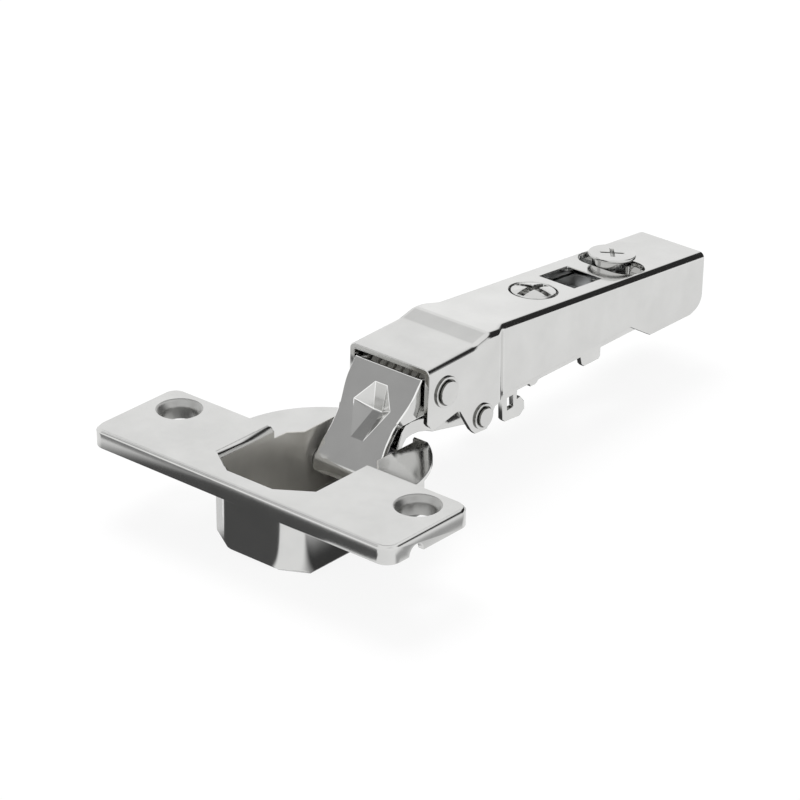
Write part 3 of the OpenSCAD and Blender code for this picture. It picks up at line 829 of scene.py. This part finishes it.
def rounded_copy(node: str, look: Dressing, paints: Paints) -> bpy.types.Object:
    """Copies a CAD node and rounds its edges, with no point outside the solid's box.

    Args:
        node: The CAD node.
        look: Its dressing.
        paints: The materials.

    Returns:
        The copy, linked to the scene.
    """
    mesh = joined_mesh(node)
    if look.shape:
        look.shape(mesh)
    mesh.materials.clear()
    mesh.materials.append(paints.get(look.finish))
    mesh.materials.append(paints.get(look.edge))
    solid = solid_tree(mesh)
    solid_points = points_of(mesh)
    piece = linked(node + "_dressed", mesh)
    rounder = piece.modifiers.new("rounded_edges", "BEVEL")
    rounder.width = look.bevel * MM
    rounder.segments = look.segments
    if look.bevel_from_deg is None:
        rounder.limit_method = "WEIGHT"
    else:
        rounder.limit_method = "ANGLE"
        rounder.angle_limit = math.radians(look.bevel_from_deg)
    rounder.use_clamp_overlap = False
    rounder.material = 1
    bake_modifiers(piece)
    strays = recall_strays(piece.data, solid, look.stray_share * look.bevel * MM)
    LOG.info("%s: %d stray points of its rounds called back", piece.name, strays)
    inside = np.clip(points_of(piece.data), solid_points.min(axis=0), solid_points.max(axis=0))
    piece.data.vertices.foreach_set("co", inside.ravel())
    smooth(piece, look.roll_deg)
    keep_folds(piece.data, look)
    evener = piece.modifiers.new("even_normals", "WEIGHTED_NORMAL")
    evener.keep_sharp = True
    evener.weight = look.face_weight
    bake_modifiers(piece)
    return piece


# Sub-assemblies


@dataclass
class Assembly:
    """What each sub-assembly of the hinge shares. Its sizes are in millimetres."""

    paints: Paints
    made: list[bpy.types.Object] = field(default_factory=list)

    def add(self, piece: bpy.types.Object, body: str, slot: str, *nodes: str) -> bpy.types.Object:
        """Hands a finished piece to the frame.

        Args:
            piece: The piece.
            body: The CAD body that it rides on.
            slot: The record's material slot; not used.
            nodes: CAD nodes that it stands for.

        Returns:
            The piece.
        """
        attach(piece, body)
        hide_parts(*nodes)
        self.made.append(piece)
        LOG.info("%s rides on %s with %d faces", piece.name, body, len(piece.data.polygons))
        return piece

    def pressed(self, node: str, body: str, slot: str, look: Dressing) -> bpy.types.Object:
        """Stands a rounded copy in for a CAD node.

        Args:
            node: The CAD node.
            body: The body that it rides on.
            slot: The record's material slot; not used.
            look: Its dressing.

        Returns:
            The copy.
        """
        return self.add(rounded_copy(node, look, self.paints), body, slot, node)

    def shaped(self, node: str, body: str, slot: str, surface: Surface) -> bpy.types.Object:
        """Stands a surface in for a CAD node.

        Args:
            node: The CAD node.
            body: The body that it rides on.
            slot: The record's material slot.
            surface: Points in millimetres and faces.

        Returns:
            The piece.
        """
        piece = mesh_object(node + "_dressed", surface, self.paints.get(SLOT_FINISH[slot]))
        smooth(piece)
        return self.add(piece, body, slot, node)

    def repaint(self, piece: bpy.types.Object, chosen: np.ndarray, finish: Finish) -> None:
        """Gives some faces of a piece a finish of their own.

        Args:
            piece: The piece.
            chosen: True for each face to repaint.
            finish: The finish.
        """
        mesh = piece.data
        slots = np.zeros(len(mesh.polygons), dtype=np.int32)
        mesh.polygons.foreach_get("material_index", slots)
        slots[chosen] = len(mesh.materials)
        mesh.materials.append(self.paints.get(finish))
        mesh.polygons.foreach_set("material_index", slots)
        mesh.update()


def pin_profile(radius: float, half: float, chamfer: float = 0.2) -> Profile:
    """Draws half the section of a pin with chamfered ends, from end to end.

    Args:
        radius: The pin's radius.
        half: Half its length.
        chamfer: Width and height of the chamfers.

    Returns:
        (radius, height) pairs.
    """
    return [
        (radius - chamfer, -half),
        (radius, -half + chamfer),
        (radius, half - chamfer),
        (radius - chamfer, half),
    ]


@dataclass
class CupAssembly(Assembly):
    """Cup with flange and wings, its two pins and the closing springs."""

    look: Dressing = Dressing(
        Finish.CUP_NICKEL,
        bevel=0.16,
        edge=Finish.CUP_NICKEL,
        fold_axis=2,
        fold_deg=(20.0, 61.0),
    )
    screw_x: float = 26.0
    screw_y: float = -5.5
    sink_r: float = 5.6
    sink_level: float = 0.97
    pocket_half: float = 10.4
    pocket_y: Span = (-12.9, 15.0)
    pocket_top: float = 2.1
    pocket_inward: float = 0.05
    pocket_upward: float = 0.9
    outer_axis: Axis = along_x(8.5, -4.9)
    outer_pin_r: float = 1.5
    outer_pin_half: float = 10.0
    inner_axis: Axis = along_x(12.1, -3.05)
    inner_pin_r: float = 1.1
    inner_pin_half: float = 8.9
    wire_r: float = 0.36
    coil_r: float = 1.54
    coil_x: float = 4.15
    coil_half: float = 0.86
    coil_turns: int = 2
    coil_points: int = 110
    floor_z: float = -10.55
    leg_bend: float = 0.5
    bend_points: int = 6
    hook_deg: float = 54.0
    hook_out: float = 0.28
    hook_share: float = 0.07

    def inner_faces(self, mesh: bpy.types.Mesh) -> tuple[np.ndarray, np.ndarray]:
        """Finds the faces that look into the cup and those of the countersinks, for painted shade.

        A face of the cup's inside has its centre in the pocket's box and looks towards
        the box's upright middle line or straight up. A countersink's face lies near a
        screw's axis and looks neither up nor down.

        Args:
            mesh: The cup's mesh.

        Returns:
            True for each face of the inside, and true for each one of the countersinks.
        """
        count = len(mesh.polygons)
        centre = np.empty(count * 3)
        mesh.polygons.foreach_get("center", centre)
        normal = np.empty(count * 3)
        mesh.polygons.foreach_get("normal", normal)
        x, y, z = centre.reshape(-1, 3).T / MM
        normal = normal.reshape(-1, 3)
        front, back = self.pocket_y
        to_middle = normal[:, 1] * ((front + back) / 2 - y) - normal[:, 0] * x
        facing = (to_middle > self.pocket_inward) | (normal[:, 2] > self.pocket_upward)
        inside = (abs(x) < self.pocket_half) & (y > front) & (y < back) & (z < self.pocket_top)
        near_screw = np.hypot(abs(x) - self.screw_x, y - self.screw_y) < self.sink_r
        return inside & facing, near_screw & (abs(normal[:, 2]) < self.sink_level)

    def spring_path(self, side: int) -> np.ndarray:
        """Returns a closing spring's centre line.

        A straight leg stands on the cup's floor, a quarter bend leads into the coil, and
        the coil's last part opens outwards by a smooth step towards the inner link:
        x = side (x0 + half (1 - 2t)), r = R + out s(t), a = -90 deg + t (whole turns +
        90 deg + hook).

        Args:
            side: -1 for the left spring and 1 for the right one.

        Returns:
            Points in millimetres.
        """
        _, y0, z0 = self.inner_axis.origin
        outer_x = side * (self.coil_x + self.coil_half)
        leg_y = y0 - self.leg_bend
        bend_z = z0 - self.coil_r - self.leg_bend
        leg = straight((outer_x, leg_y, self.floor_z), (outer_x, leg_y, bend_z))
        turn = np.radians(np.linspace(180, 90, self.bend_points, endpoint=False))
        bend_x = np.full(self.bend_points, outer_x)
        bend = coil_path(along_x(y0, bend_z), np.full_like(turn, self.leg_bend), turn, bend_x)
        t = np.linspace(0, 1, self.coil_points)
        angle = np.radians(-90 + t * (self.hook_deg + 90 + 360 * self.coil_turns))
        radius = self.coil_r + self.hook_out * smooth_step(t, (1 - self.hook_share, 1))
        x = side * (self.coil_x + self.coil_half * (1 - 2 * t))
        return np.concatenate([leg, bend, coil_path(self.inner_axis, radius, angle, x)])

    def build(self) -> None:
        """Builds the cup's pieces."""
        cup = self.pressed("cup", "cup", "nickel_plate", self.look)
        pocket, sinks = self.inner_faces(cup.data)
        # The cup's inside is painted darker: painted shade in the recess.
        self.repaint(cup, pocket, Finish.POCKET_SHADE)
        # The countersinks are painted darker: painted shade in the cones.
        self.repaint(cup, sinks, Finish.SINK_SHADE)
        outer = turned(pin_profile(self.outer_pin_r, self.outer_pin_half), self.outer_axis)
        inner = turned(pin_profile(self.inner_pin_r, self.inner_pin_half), self.inner_axis)
        self.shaped("outer_pin", "cup", "pin_steel", outer)
        self.shaped("inner_pin", "cup", "pin_steel", inner)
        for node, side in (("closing_spring_left", -1), ("closing_spring_right", 1)):
            self.shaped(node, "cup", "spring_steel", wire(self.spring_path(side), self.wire_r))


@dataclass
class Linkage(Assembly):
    """Outer and inner link.

    On the outer link's face, u runs up the face from the cup's outer pin. The face is
    cut across at each of the cuts, so that its sides can take the waist's S-curve.
    """

    foot: Span = (8.5, -4.9)
    face_deg: float = 51.8
    sheet: float = 1.1
    head_half: float = 7.25
    foot_half: float = 6.5
    waist_half: float = 6.1
    waist_from: Span = (2.0, 6.0)
    waist_to: Span = (7.6, 14.6)
    cuts: int = 18
    touch: float = 0.01
    recess_half: float = 4.3
    recess_low: float = 0.6
    recess_mid_u: float = 10.4
    recess_right: float = 1.5
    edge_from_deg: float = 60.0
    line_from_deg: float = 12.0
    line_share: float = 0.45
    outer_bevel: float = 0.2
    outer_roll_deg: float = 14.0
    inner_look: Dressing = Dressing(Finish.NICKEL, bevel=0.14)

    def along(self) -> Vector:
        """Returns the direction up the outer link's face."""
        turn = math.radians(self.face_deg)
        return Vector((0, math.cos(turn), math.sin(turn)))

    def outline(self, u: np.ndarray) -> np.ndarray:
        """Works out the face plate's half width along the face.

        It narrows from the foot to the waist by one smooth step and widens to the head
        by another: w = foot - (foot - waist) s1(u) + (head - waist) s2(u).

        Args:
            u: Places up the face.

        Returns:
            The half width at each place.
        """
        narrowing = (self.foot_half - self.waist_half) * smooth_step(u, self.waist_from)
        widening = (self.head_half - self.waist_half) * smooth_step(u, self.waist_to)
        return self.foot_half - narrowing + widening

    def ease_waist(self, mesh: bpy.types.Mesh) -> None:
        """Turns the outer link's straight widening into the pressed part's S-curve.

        Planes across the face cut the mesh, and then each outer point of a side wall
        takes the outline's half width. The inner ones follow a sheet's thickness behind,
        but stay clear of the inner link at the waist.

        Args:
            mesh: The link's joined mesh.
        """
        along = self.along()
        foot = Vector((0, *self.foot))
        with open_mesh(mesh) as work:
            for u in np.linspace(self.waist_from[0], self.waist_to[1], self.cuts):
                everything = work.verts[:] + work.edges[:] + work.faces[:]
                place = (foot + along * u) * MM
                bmesh.ops.bisect_plane(work, geom=everything, plane_co=place, plane_no=along)
        points = points_of(mesh) / MM
        width = self.outline((points - np.array(foot)) @ np.array(along))
        x = abs(points[:, 0])
        outer = x > self.foot_half - self.touch
        inner = ~outer & (x > self.foot_half - self.sheet - self.touch)
        inner_width = np.maximum(width, self.foot_half) - self.sheet
        x = np.where(outer, width, np.where(inner, inner_width, x))
        points[:, 0] = np.sign(points[:, 0]) * x
        mesh.vertices.foreach_set("co", (points * MM).ravel())
        mesh.update()
        self.weigh_edges(mesh)

    def weigh_edges(self, mesh: bpy.types.Mesh) -> None:
        """Sets how far the bevel rounds each edge of the outer link.

        The sheet's own edges count in full. The recess has a fine rounded line on its upper
        half and its right side. All these rounds are painted bright, a painted highlight.

        Args:
            mesh: The link's mesh.
        """
        along = self.along()
        out = X_AXIS.cross(along)
        foot = Vector((0, *self.foot))
        with open_mesh(mesh) as work:
            weights = work.edges.layers.float.new("bevel_weight_edge")
            for edge in work.edges:
                turn = math.degrees(edge.calc_face_angle(0.0))
                middle = (edge.verts[0].co + edge.verts[1].co) / (2 * MM) - foot
                in_recess = abs(middle.x) < self.recess_half and middle.dot(out) > self.recess_low
                # The upper half and the right side of the recess get a bright line: a painted
                # highlight.
                highlit_side = middle.dot(along) > self.recess_mid_u or middle.x > self.recess_right
                if turn > self.edge_from_deg:
                    edge[weights] = 1.0
                elif turn > self.line_from_deg and in_recess and highlit_side:
                    edge[weights] = self.line_share

    def build(self) -> None:
        """Builds both links."""
        # The outer link's rounded edges take a bright finish: a painted highlight.
        outer_look = Dressing(
            Finish.LINK,
            self.outer_bevel,
            Finish.PAINTED_HIGHLIGHT_EDGE,
            bevel_from_deg=None,
            roll_deg=self.outer_roll_deg,
            shape=self.ease_waist,
        )
        self.pressed("outer_link", "outer_link", "nickel_plate", outer_look)
        self.pressed("inner_link", "inner_link", "nickel_plate", self.inner_look)


@dataclass(frozen=True)
class RivetShape:
    """One rivet along X: shank, flange and raised head at each end.

    The rows of faces from dark_rows' first to before its second get painted shade, which
    are the head's wall and the groove, and so do those from its third, the flange's edge.
    """

    axis: Axis
    shank_r: float
    flange_r: float
    head_r: float
    start: float = 8.65
    flange_h: float = 0.38
    head_h: float = 0.85
    groove: float = 0.2
    edge: float = 0.12
    lip: float = 0.05
    tip_r: float = 0.01
    flat_share: float = 0.6
    around: int = 72
    dark_rows: tuple[int, int, int] = (4, 10, 15)

    def half_profile(self) -> Profile:
        """Draws one end's section, from the middle of the head's top to the shank.

        Returns:
            (radius, height) pairs.
        """
        top = self.start + self.head_h
        flange = self.start + self.flange_h
        floor = flange - self.groove
        lip_r = self.head_r + self.groove
        return (
            [(self.tip_r, top), (self.head_r * self.flat_share, top)]
            + fillet((self.head_r - self.edge, top - self.edge), self.edge, 90, 0)
            + [(self.head_r, floor), (lip_r, floor)]
            + fillet((lip_r + self.lip, flange - self.lip), self.lip, 180, 90, 3)
            + fillet((self.flange_r - self.edge, flange - self.edge), self.edge, 90, 0)
            + [(self.flange_r, self.start), (self.shank_r, self.start)]
        )

    def surface(self) -> Surface:
        """Turns the whole rivet, with its second end mirrored from the first.

        Returns:
            Points in millimetres and faces.
        """
        first = self.half_profile()
        second = [(radius, -height) for radius, height in first[::-1]]
        return turned(first + second, self.axis, self.around)

    def dark_faces(self, count: int) -> np.ndarray:
        """Finds the faces of the head's wall, the groove and the flange's edge, for painted shade.

        Args:
            count: Number of faces of the rivet, its two ends included.

        Returns:
            True for each face that gets painted shade.
        """
        row = np.arange(count) // self.around
        rows = 2 * len(self.half_profile()) - 1
        row = np.minimum(row, rows - 1 - row)
        groove = (row >= self.dark_rows[0]) & (row < self.dark_rows[1])
        return groove | (row >= self.dark_rows[2])


@dataclass
class Arm(Assembly):
    """Pressed arm with its rivets, the grooved spacer and the side-adjusting screw."""

    look: Dressing = Dressing(Finish.NICKEL, bevel=0.16, fold_deg=(6.0, 24.0))
    screw_look: Dressing = Dressing(Finish.SCREW, bevel=0.16, edge=Finish.SCREW)
    front_rivet: RivetShape = RivetShape(
        along_x(21.5, 7.5),
        shank_r=1.9,
        flange_r=2.75,
        head_r=2.05,
    )
    rear_rivet: RivetShape = RivetShape(
        along_x(30.8, -0.4),
        shank_r=1.5,
        flange_r=2.3,
        head_r=1.65,
    )
    spacer_r: float = 3.1
    spacer_bore: float = 1.9
    spacer_half: float = 5.9
    grooves: int = 6
    groove_half: float = 0.25
    groove_depth: float = 1.0
    chamfer: float = 0.12

    def spacer_profile(self) -> Profile:
        """Draws the loop of the spacer's section, with chamfered grooves.

        Groove i sits at -half + i 2 half / (n + 1), and each one is six points: chamfer,
        wall and floor, then the same back up.

        Returns:
            (radius, height) pairs.
        """
        end = self.spacer_half
        chamfer = self.chamfer
        reach = self.groove_half
        centres = -end + np.arange(1, self.grooves + 1) * 2 * end / (self.grooves + 1)
        drops = np.array([0, chamfer, self.groove_depth, self.groove_depth, chamfer, 0])
        steps = np.array([-reach - chamfer, -reach, -reach, reach, reach, reach + chamfer])
        heights = (centres[:, None] + steps).ravel()
        radii = np.tile(self.spacer_r - drops, self.grooves)
        return (
            [(self.spacer_bore, -end), (self.spacer_r - chamfer, -end), (self.spacer_r, -end + chamfer)]
            + list(zip(radii, heights))
            + [(self.spacer_r, end - chamfer), (self.spacer_r - chamfer, end), (self.spacer_bore, end)]
        )

    def build(self) -> None:
        """Builds the arm's pieces."""
        self.pressed("arm", "arm", "nickel_plate", self.look)
        for node, rivet in (("front_rivet", self.front_rivet), ("rear_rivet", self.rear_rivet)):
            piece = self.shaped(node, "arm", "rivet_steel", rivet.surface())
            # Painted shade: dark rings on the head's wall, the groove and the flange's edge.
            self.repaint(piece, rivet.dark_faces(len(piece.data.polygons)), Finish.PAINTED_SHADE_EDGE)
        spacer = turned_ring(self.spacer_profile(), self.front_rivet.axis)
        self.shaped("nose_spacer", "arm", "grey_plastic", spacer)
        self.pressed("side_screw", "side_screw", "screw_steel", self.screw_look)


@dataclass
class Adjuster(Assembly):
    """Adjusting plate under the arm's top, with the depth cam and its collar."""

    plate_look: Dressing = Dressing(Finish.ZINC, bevel=0.12, edge=Finish.ZINC)
    cam_look: Dressing = Dressing(Finish.SCREW, bevel=0.14, edge=Finish.SCREW)

    def build(self) -> None:
        """Builds the adjuster's pieces."""
        self.pressed("adjust_plate", "adjust_plate", "zinc_plate", self.plate_look)
        self.pressed("depth_cam", "depth_cam", "screw_steel", self.cam_look)
        self.pressed("cam_collar", "depth_cam", "zinc_plate", self.plate_look)


@dataclass
class Carrier(Assembly):
    """Clip-on carrier with its rear latch."""

    look: Dressing = Dressing(Finish.NICKEL, bevel=0.16)
    lever_look: Dressing = Dressing(Finish.NICKEL, bevel=0.12)
    latch_axis: Axis = along_x(80.2, 1.5)
    pin_r: float = 0.9
    pin_half: float = 6.1
    wire_r: float = 0.3
    coil_r: float = 1.3
    coil_half: float = 2.0
    coil_turns: float = 6.75
    coil_points: int = 240
    leg_start: float = 0.1
    web_z: float = 3.2
    bar_y: float = 88.5

    def spring_path(self) -> np.ndarray:
        """Returns the latch spring's centre line.

        One leg comes down from the carrier's web, the coil turns backwards (a = -t 360
        deg turns, x = half (2t - 1)), and the other leg runs on to the lever's rear bar.

        Returns:
            Points in millimetres.
        """
        _, y0, z0 = self.latch_axis.origin
        x0 = self.coil_half
        down_y = y0 + self.coil_r
        back_z = z0 + self.coil_r
        down = straight((-x0, down_y, self.web_z), (-x0, down_y, z0))
        t = np.linspace(0, 1, self.coil_points)
        angle = np.radians(-t * 360 * self.coil_turns)
        coil = coil_path(self.latch_axis, np.full_like(t, self.coil_r), angle, x0 * (2 * t - 1))
        back = straight((x0, y0 + self.leg_start, back_z), (x0, self.bar_y, back_z))
        return np.concatenate([down, coil, back])

    def build(self) -> None:
        """Builds the carrier's pieces."""
        self.pressed("carrier", "carrier", "nickel_plate", self.look)
        pin = turned(pin_profile(self.pin_r, self.pin_half), self.latch_axis)
        self.shaped("latch_pin", "carrier", "pin_steel", pin)
        spring = wire(self.spring_path(), self.wire_r)
        self.shaped("latch_spring", "carrier", "spring_steel", spring)
        self.pressed("latch_lever", "latch_lever", "nickel_plate", self.lever_look)


# Studio


def corners(x: Span, y: Span, z: float) -> Surface:
    """Returns a level rectangle, as four points in millimetres and one face."""
    points = [(x[0], y[0], z), (x[1], y[0], z), (x[1], y[1], z), (x[0], y[1], z)]
    return np.array(points, dtype=float), [[0, 1, 2, 3]]


@dataclass(frozen=True)
class Card:
    """A flat card that only mirror rays see; its level fades to another one at its rim."""

    name: str
    azimuth_deg: float
    elevation_deg: float
    half_width: float
    half_height: float
    level: float
    rim_level: float = 0.9
    rim_share: float = 0.5
    distance: float = 500.0
    centre: Point = (0.0, 30.0, 5.0)


@dataclass(frozen=True)
class Patch:
    """A dark patch that only mirror rays see on the floor, with a fade along each side, some as painted
    shadow.
    """

    x: Span
    y: Span
    level: float
    x_fades: Span
    y_fades: Span


@dataclass(frozen=True)
class Lamp:
    """A soft square lamp that mirror rays don't see."""

    name: str
    place: Point
    target: Point
    size: float
    watts: float


@dataclass
class Studio:
    """Camera, floor, world, lamp and the cards that bright metal mirrors.

    Lengths are in millimetres, and levels are shares of plain white.
    """

    azimuth_deg: float = 41.393
    elevation_deg: float = 26.163
    roll_deg: float = -0.179
    camera_place: Point = (402.081, -436.342, 302.56)
    camera_clip: Span = (10.0, 20000.0)
    focal_px: float = 4115.4
    frame_px: float = 800.0
    sensor_mm: float = 36.0
    soft_level: float = 0.75
    floor_z: float = -11.65
    floor_half: float = 3000.0
    floor_level: float = 0.85
    floor_white: float = 0.88
    key: Lamp = Lamp("key", (-250.0, 150.0, 500.0), (0.0, 30.0, 0.0), size=300.0, watts=3.0)
    cards: tuple[Card, ...] = (
        Card("band_card", 20.0, 21.0, half_width=360.0, half_height=290.0, level=0.03, rim_share=0.34),
        Card("link_card", -134.7, 33.0, half_width=120.0, half_height=90.0, level=0.45, rim_share=0.4),
        Card("gem_side_card", 115.0, 58.0, half_width=110.0, half_height=90.0, level=0.5),
        Card("gem_low_card", -100.0, 53.0, half_width=90.0, half_height=60.0, level=0.27),
        Card(
            "gem_corner_card",
            -66.0,
            0.0,
            half_width=30.0,
            half_height=12.0,
            level=0.3,
            rim_share=0.3,
            distance=120.0,
        ),
        Card(
            "step_card",
            -53.0,
            43.0,
            half_width=110.0,
            half_height=48.0,
            level=0.82,
            rim_level=1.0,
            rim_share=0.4,
        ),
        Card("top_card", -41.0, 18.5, half_width=70.0, half_height=38.0, level=1.1, rim_level=1.0),
    )
    sheet_half: float = 130.0
    sheet_lift: float = 0.1
    sheet_level: float = 0.96
    # The patches under the flange's right side and under the arm stand for the hinge's own shadow as
    # mirrors see it: painted shadow. The others are dark surroundings.
    patches: tuple[Patch, ...] = (
        Patch((-62.0, 4.9), (-80.0, -12.0), level=0.085, x_fades=(26.0, 1.1), y_fades=(12.0, 3.0)),
        Patch((-12.0, 15.0), (-64.0, -36.6), level=0.085, x_fades=(2.0, 3.0), y_fades=(10.0, 1.2)),
        Patch((9.0, 30.0), (-15.0, 18.0), level=0.05, x_fades=(2.0, 16.0), y_fades=(3.0, 8.0)),
        Patch((-128.0, -40.0), (-128.0, -52.0), level=0.25, x_fades=(6.0, 12.0), y_fades=(6.0, 12.0)),
        Patch((44.0, 84.0), (-18.0, 44.0), level=0.42, x_fades=(10.0, 20.0), y_fades=(10.0, 20.0)),
        Patch((-14.0, 7.0), (24.0, 104.0), level=0.05, x_fades=(4.0, 2.0), y_fades=(4.0, 4.0)),
    )

    def camera(self) -> None:
        """Puts the camera where the photograph was taken from."""
        data = bpy.data.cameras.new("view")
        data.sensor_width = self.sensor_mm
        data.lens = self.sensor_mm * self.focal_px / self.frame_px
        data.clip_start = self.camera_clip[0] * MM
        data.clip_end = self.camera_clip[1] * MM
        camera = linked("view", data)
        turn = (
            Matrix.Rotation(math.radians(self.azimuth_deg), 3, "Z")
            @ Matrix.Rotation(math.radians(90.0 - self.elevation_deg), 3, "X")
            @ Matrix.Rotation(math.radians(self.roll_deg), 3, "Z")
        )
        camera.matrix_world = Matrix.Translation(Vector(self.camera_place) * MM) @ turn.to_4x4()
        bpy.context.scene.camera = camera

    def white_world(self) -> None:
        """Lights softly from all round, and shows white to camera and mirror rays."""
        world = bpy.data.worlds.new("studio")
        world.use_nodes = True
        bpy.context.scene.world = world
        graph = Graph(world.node_tree)
        soft = graph.background(self.soft_level)
        white = graph.background(1.0)
        graph.output(graph.mixed(self._seen(graph), soft, white), "ShaderNodeOutputWorld")

    @staticmethod
    def _seen(graph: Graph) -> Value:
        """Tells rays from the camera and from mirrors from those that light things.

        Args:
            graph: The graph of the world or a material.

        Returns:
            1 for camera, glossy and transmission rays, and 0 for others.
        """
        path = graph.node("ShaderNodeLightPath")
        mirrored = path["Is Glossy Ray"].larger(path["Is Transmission Ray"])
        return path["Is Camera Ray"].larger(mirrored)

    def floor(self) -> None:
        """Lays a plain pale floor that keeps the object's shadow."""
        material, graph = new_material("pale_floor")
        share = self._seen(graph) * self.floor_white
        matt = graph.node("ShaderNodeBsdfDiffuse", {}, {"Color": grey(self.floor_level)})["BSDF"]
        graph.output(graph.mixed(share, matt, graph.emission(1.0)))
        span = (-self.floor_half, self.floor_half)
        mesh_object("floor", corners(span, span, self.floor_z), material)

    @staticmethod
    def _hang(name: str, surface: Surface, paint: bpy.types.Material) -> bpy.types.Object:
        """Makes a piece of the stage that only mirror rays see.

        Args:
            name: The object's name.
            surface: Points in millimetres and faces.
            paint: Its material.

        Returns:
            The object.
        """
        made = mesh_object(name, surface, paint)
        made.visible_camera = False
        made.visible_diffuse = False
        made.visible_shadow = False
        made.visible_transmission = False
        return made

    def card(self, card: Card) -> None:
        """Hangs a card that faces the hinge.

        Its level is mixed towards the rim level by how near a point is to the rim.

        Args:
            card: Its place, size and levels.
        """
        azimuth = math.radians(card.azimuth_deg)
        elevation = math.radians(card.elevation_deg)
        across = math.cos(elevation)
        out = Vector((math.sin(azimuth) * across, math.cos(azimuth) * across, math.sin(elevation)))
        material, graph = new_material(card.name)
        place = graph.node("ShaderNodeSeparateXYZ", {}, {0: graph.place()})
        wide = 1 / (card.half_width * MM)
        high = 1 / (card.half_height * MM)
        from_middle = (place["X"] * wide).larger(place["X"] * -wide)
        from_centre = (place["Y"] * high).larger(place["Y"] * -high)
        rim = from_middle.larger(from_centre).rise(1 - card.rim_share, 1.0)
        graph.output(graph.emission(rim * (card.rim_level - card.level) + card.level))
        x_span = (-card.half_width, card.half_width)
        y_span = (-card.half_height, card.half_height)
        made = self._hang(card.name, corners(x_span, y_span, 0.0), material)
        place_at = Matrix.Translation((Vector(card.centre) + out * card.distance) * MM)
        made.matrix_world = place_at @ out.to_track_quat("Z", "Y").to_matrix().to_4x4()

    def mirror_floor(self) -> None:
        """Lays a sheet on the floor that mirror rays see, pale with soft dark patches, partly painted
        shadow.

        Inside a patch the level falls from the sheet's to the patch's own over the
        width of each side's fade, and the darkest patch counts.
        """
        material, graph = new_material("mirror_floor")
        place = graph.node("ShaderNodeSeparateXYZ", {}, {0: graph.place()})
        level = self.sheet_level
        for patch in self.patches:
            inside = self._between(place["X"], patch.x, patch.x_fades)
            inside = inside.smaller(self._between(place["Y"], patch.y, patch.y_fades))
            dimmed = inside * (patch.level - self.sheet_level) + self.sheet_level
            level = dimmed.smaller(level)
        graph.output(graph.emission(level))
        span = (-self.sheet_half, self.sheet_half)
        self._hang("mirror_floor", corners(span, span, self.floor_z + self.sheet_lift), material)

    @staticmethod
    def _between(place: Value, ends: Span, fades: Span) -> Value:
        """Marks a stretch along one direction, with a fade inside each end.

        Args:
            place: The place along it, in metres.
            ends: Where the stretch starts and ends.
            fades: Widths of the two fades.

        Returns:
            1 in the stretch and 0 outside.
        """
        first = place.rise(ends[0] * MM, (ends[0] + fades[0]) * MM)
        last = 1 - place.rise((ends[1] - fades[1]) * MM, ends[1] * MM)
        return first.smaller(last)

    def hang_lamp(self, lamp: Lamp) -> None:
        """Hangs a lamp.

        Args:
            lamp: Its place, target, size and power.
        """
        data = bpy.data.lights.new(lamp.name, "AREA")
        data.size = lamp.size * MM
        data.energy = lamp.watts
        made = linked(lamp.name, data)
        made.location = Vector(lamp.place) * MM
        aim = Vector(lamp.target) - Vector(lamp.place)
        made.rotation_euler = aim.to_track_quat("-Z", "Y").to_euler()
        made.visible_glossy = False

    def build(self) -> None:
        """Sets up the whole studio."""
        bpy.context.scene.view_settings.view_transform = "Standard"
        self.camera()
        self.white_world()
        self.floor()
        for card in self.cards:
            self.card(card)
        self.mirror_floor()
        self.hang_lamp(self.key)


def main() -> None:
    """Builds the studio and every sub-assembly."""
    logging.basicConfig(level=logging.INFO, format="%(name)s: %(message)s")
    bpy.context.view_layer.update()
    Studio().build()
    paints = Paints()
    for kind in (CupAssembly, Linkage, Arm, Adjuster, Carrier):
        assembly = kind(paints)
        assembly.build()
        LOG.info("%s done with %d pieces", kind.__name__, len(assembly.made))
    for subpart in frame["record"]["subparts"]:
        node = frame["nodes"][subpart["node"]]
        node.data.materials.clear()
        node.data.materials.append(paints.get(SLOT_FINISH[subpart["material_slot"]]))


if __name__ == "__main__":
    main()
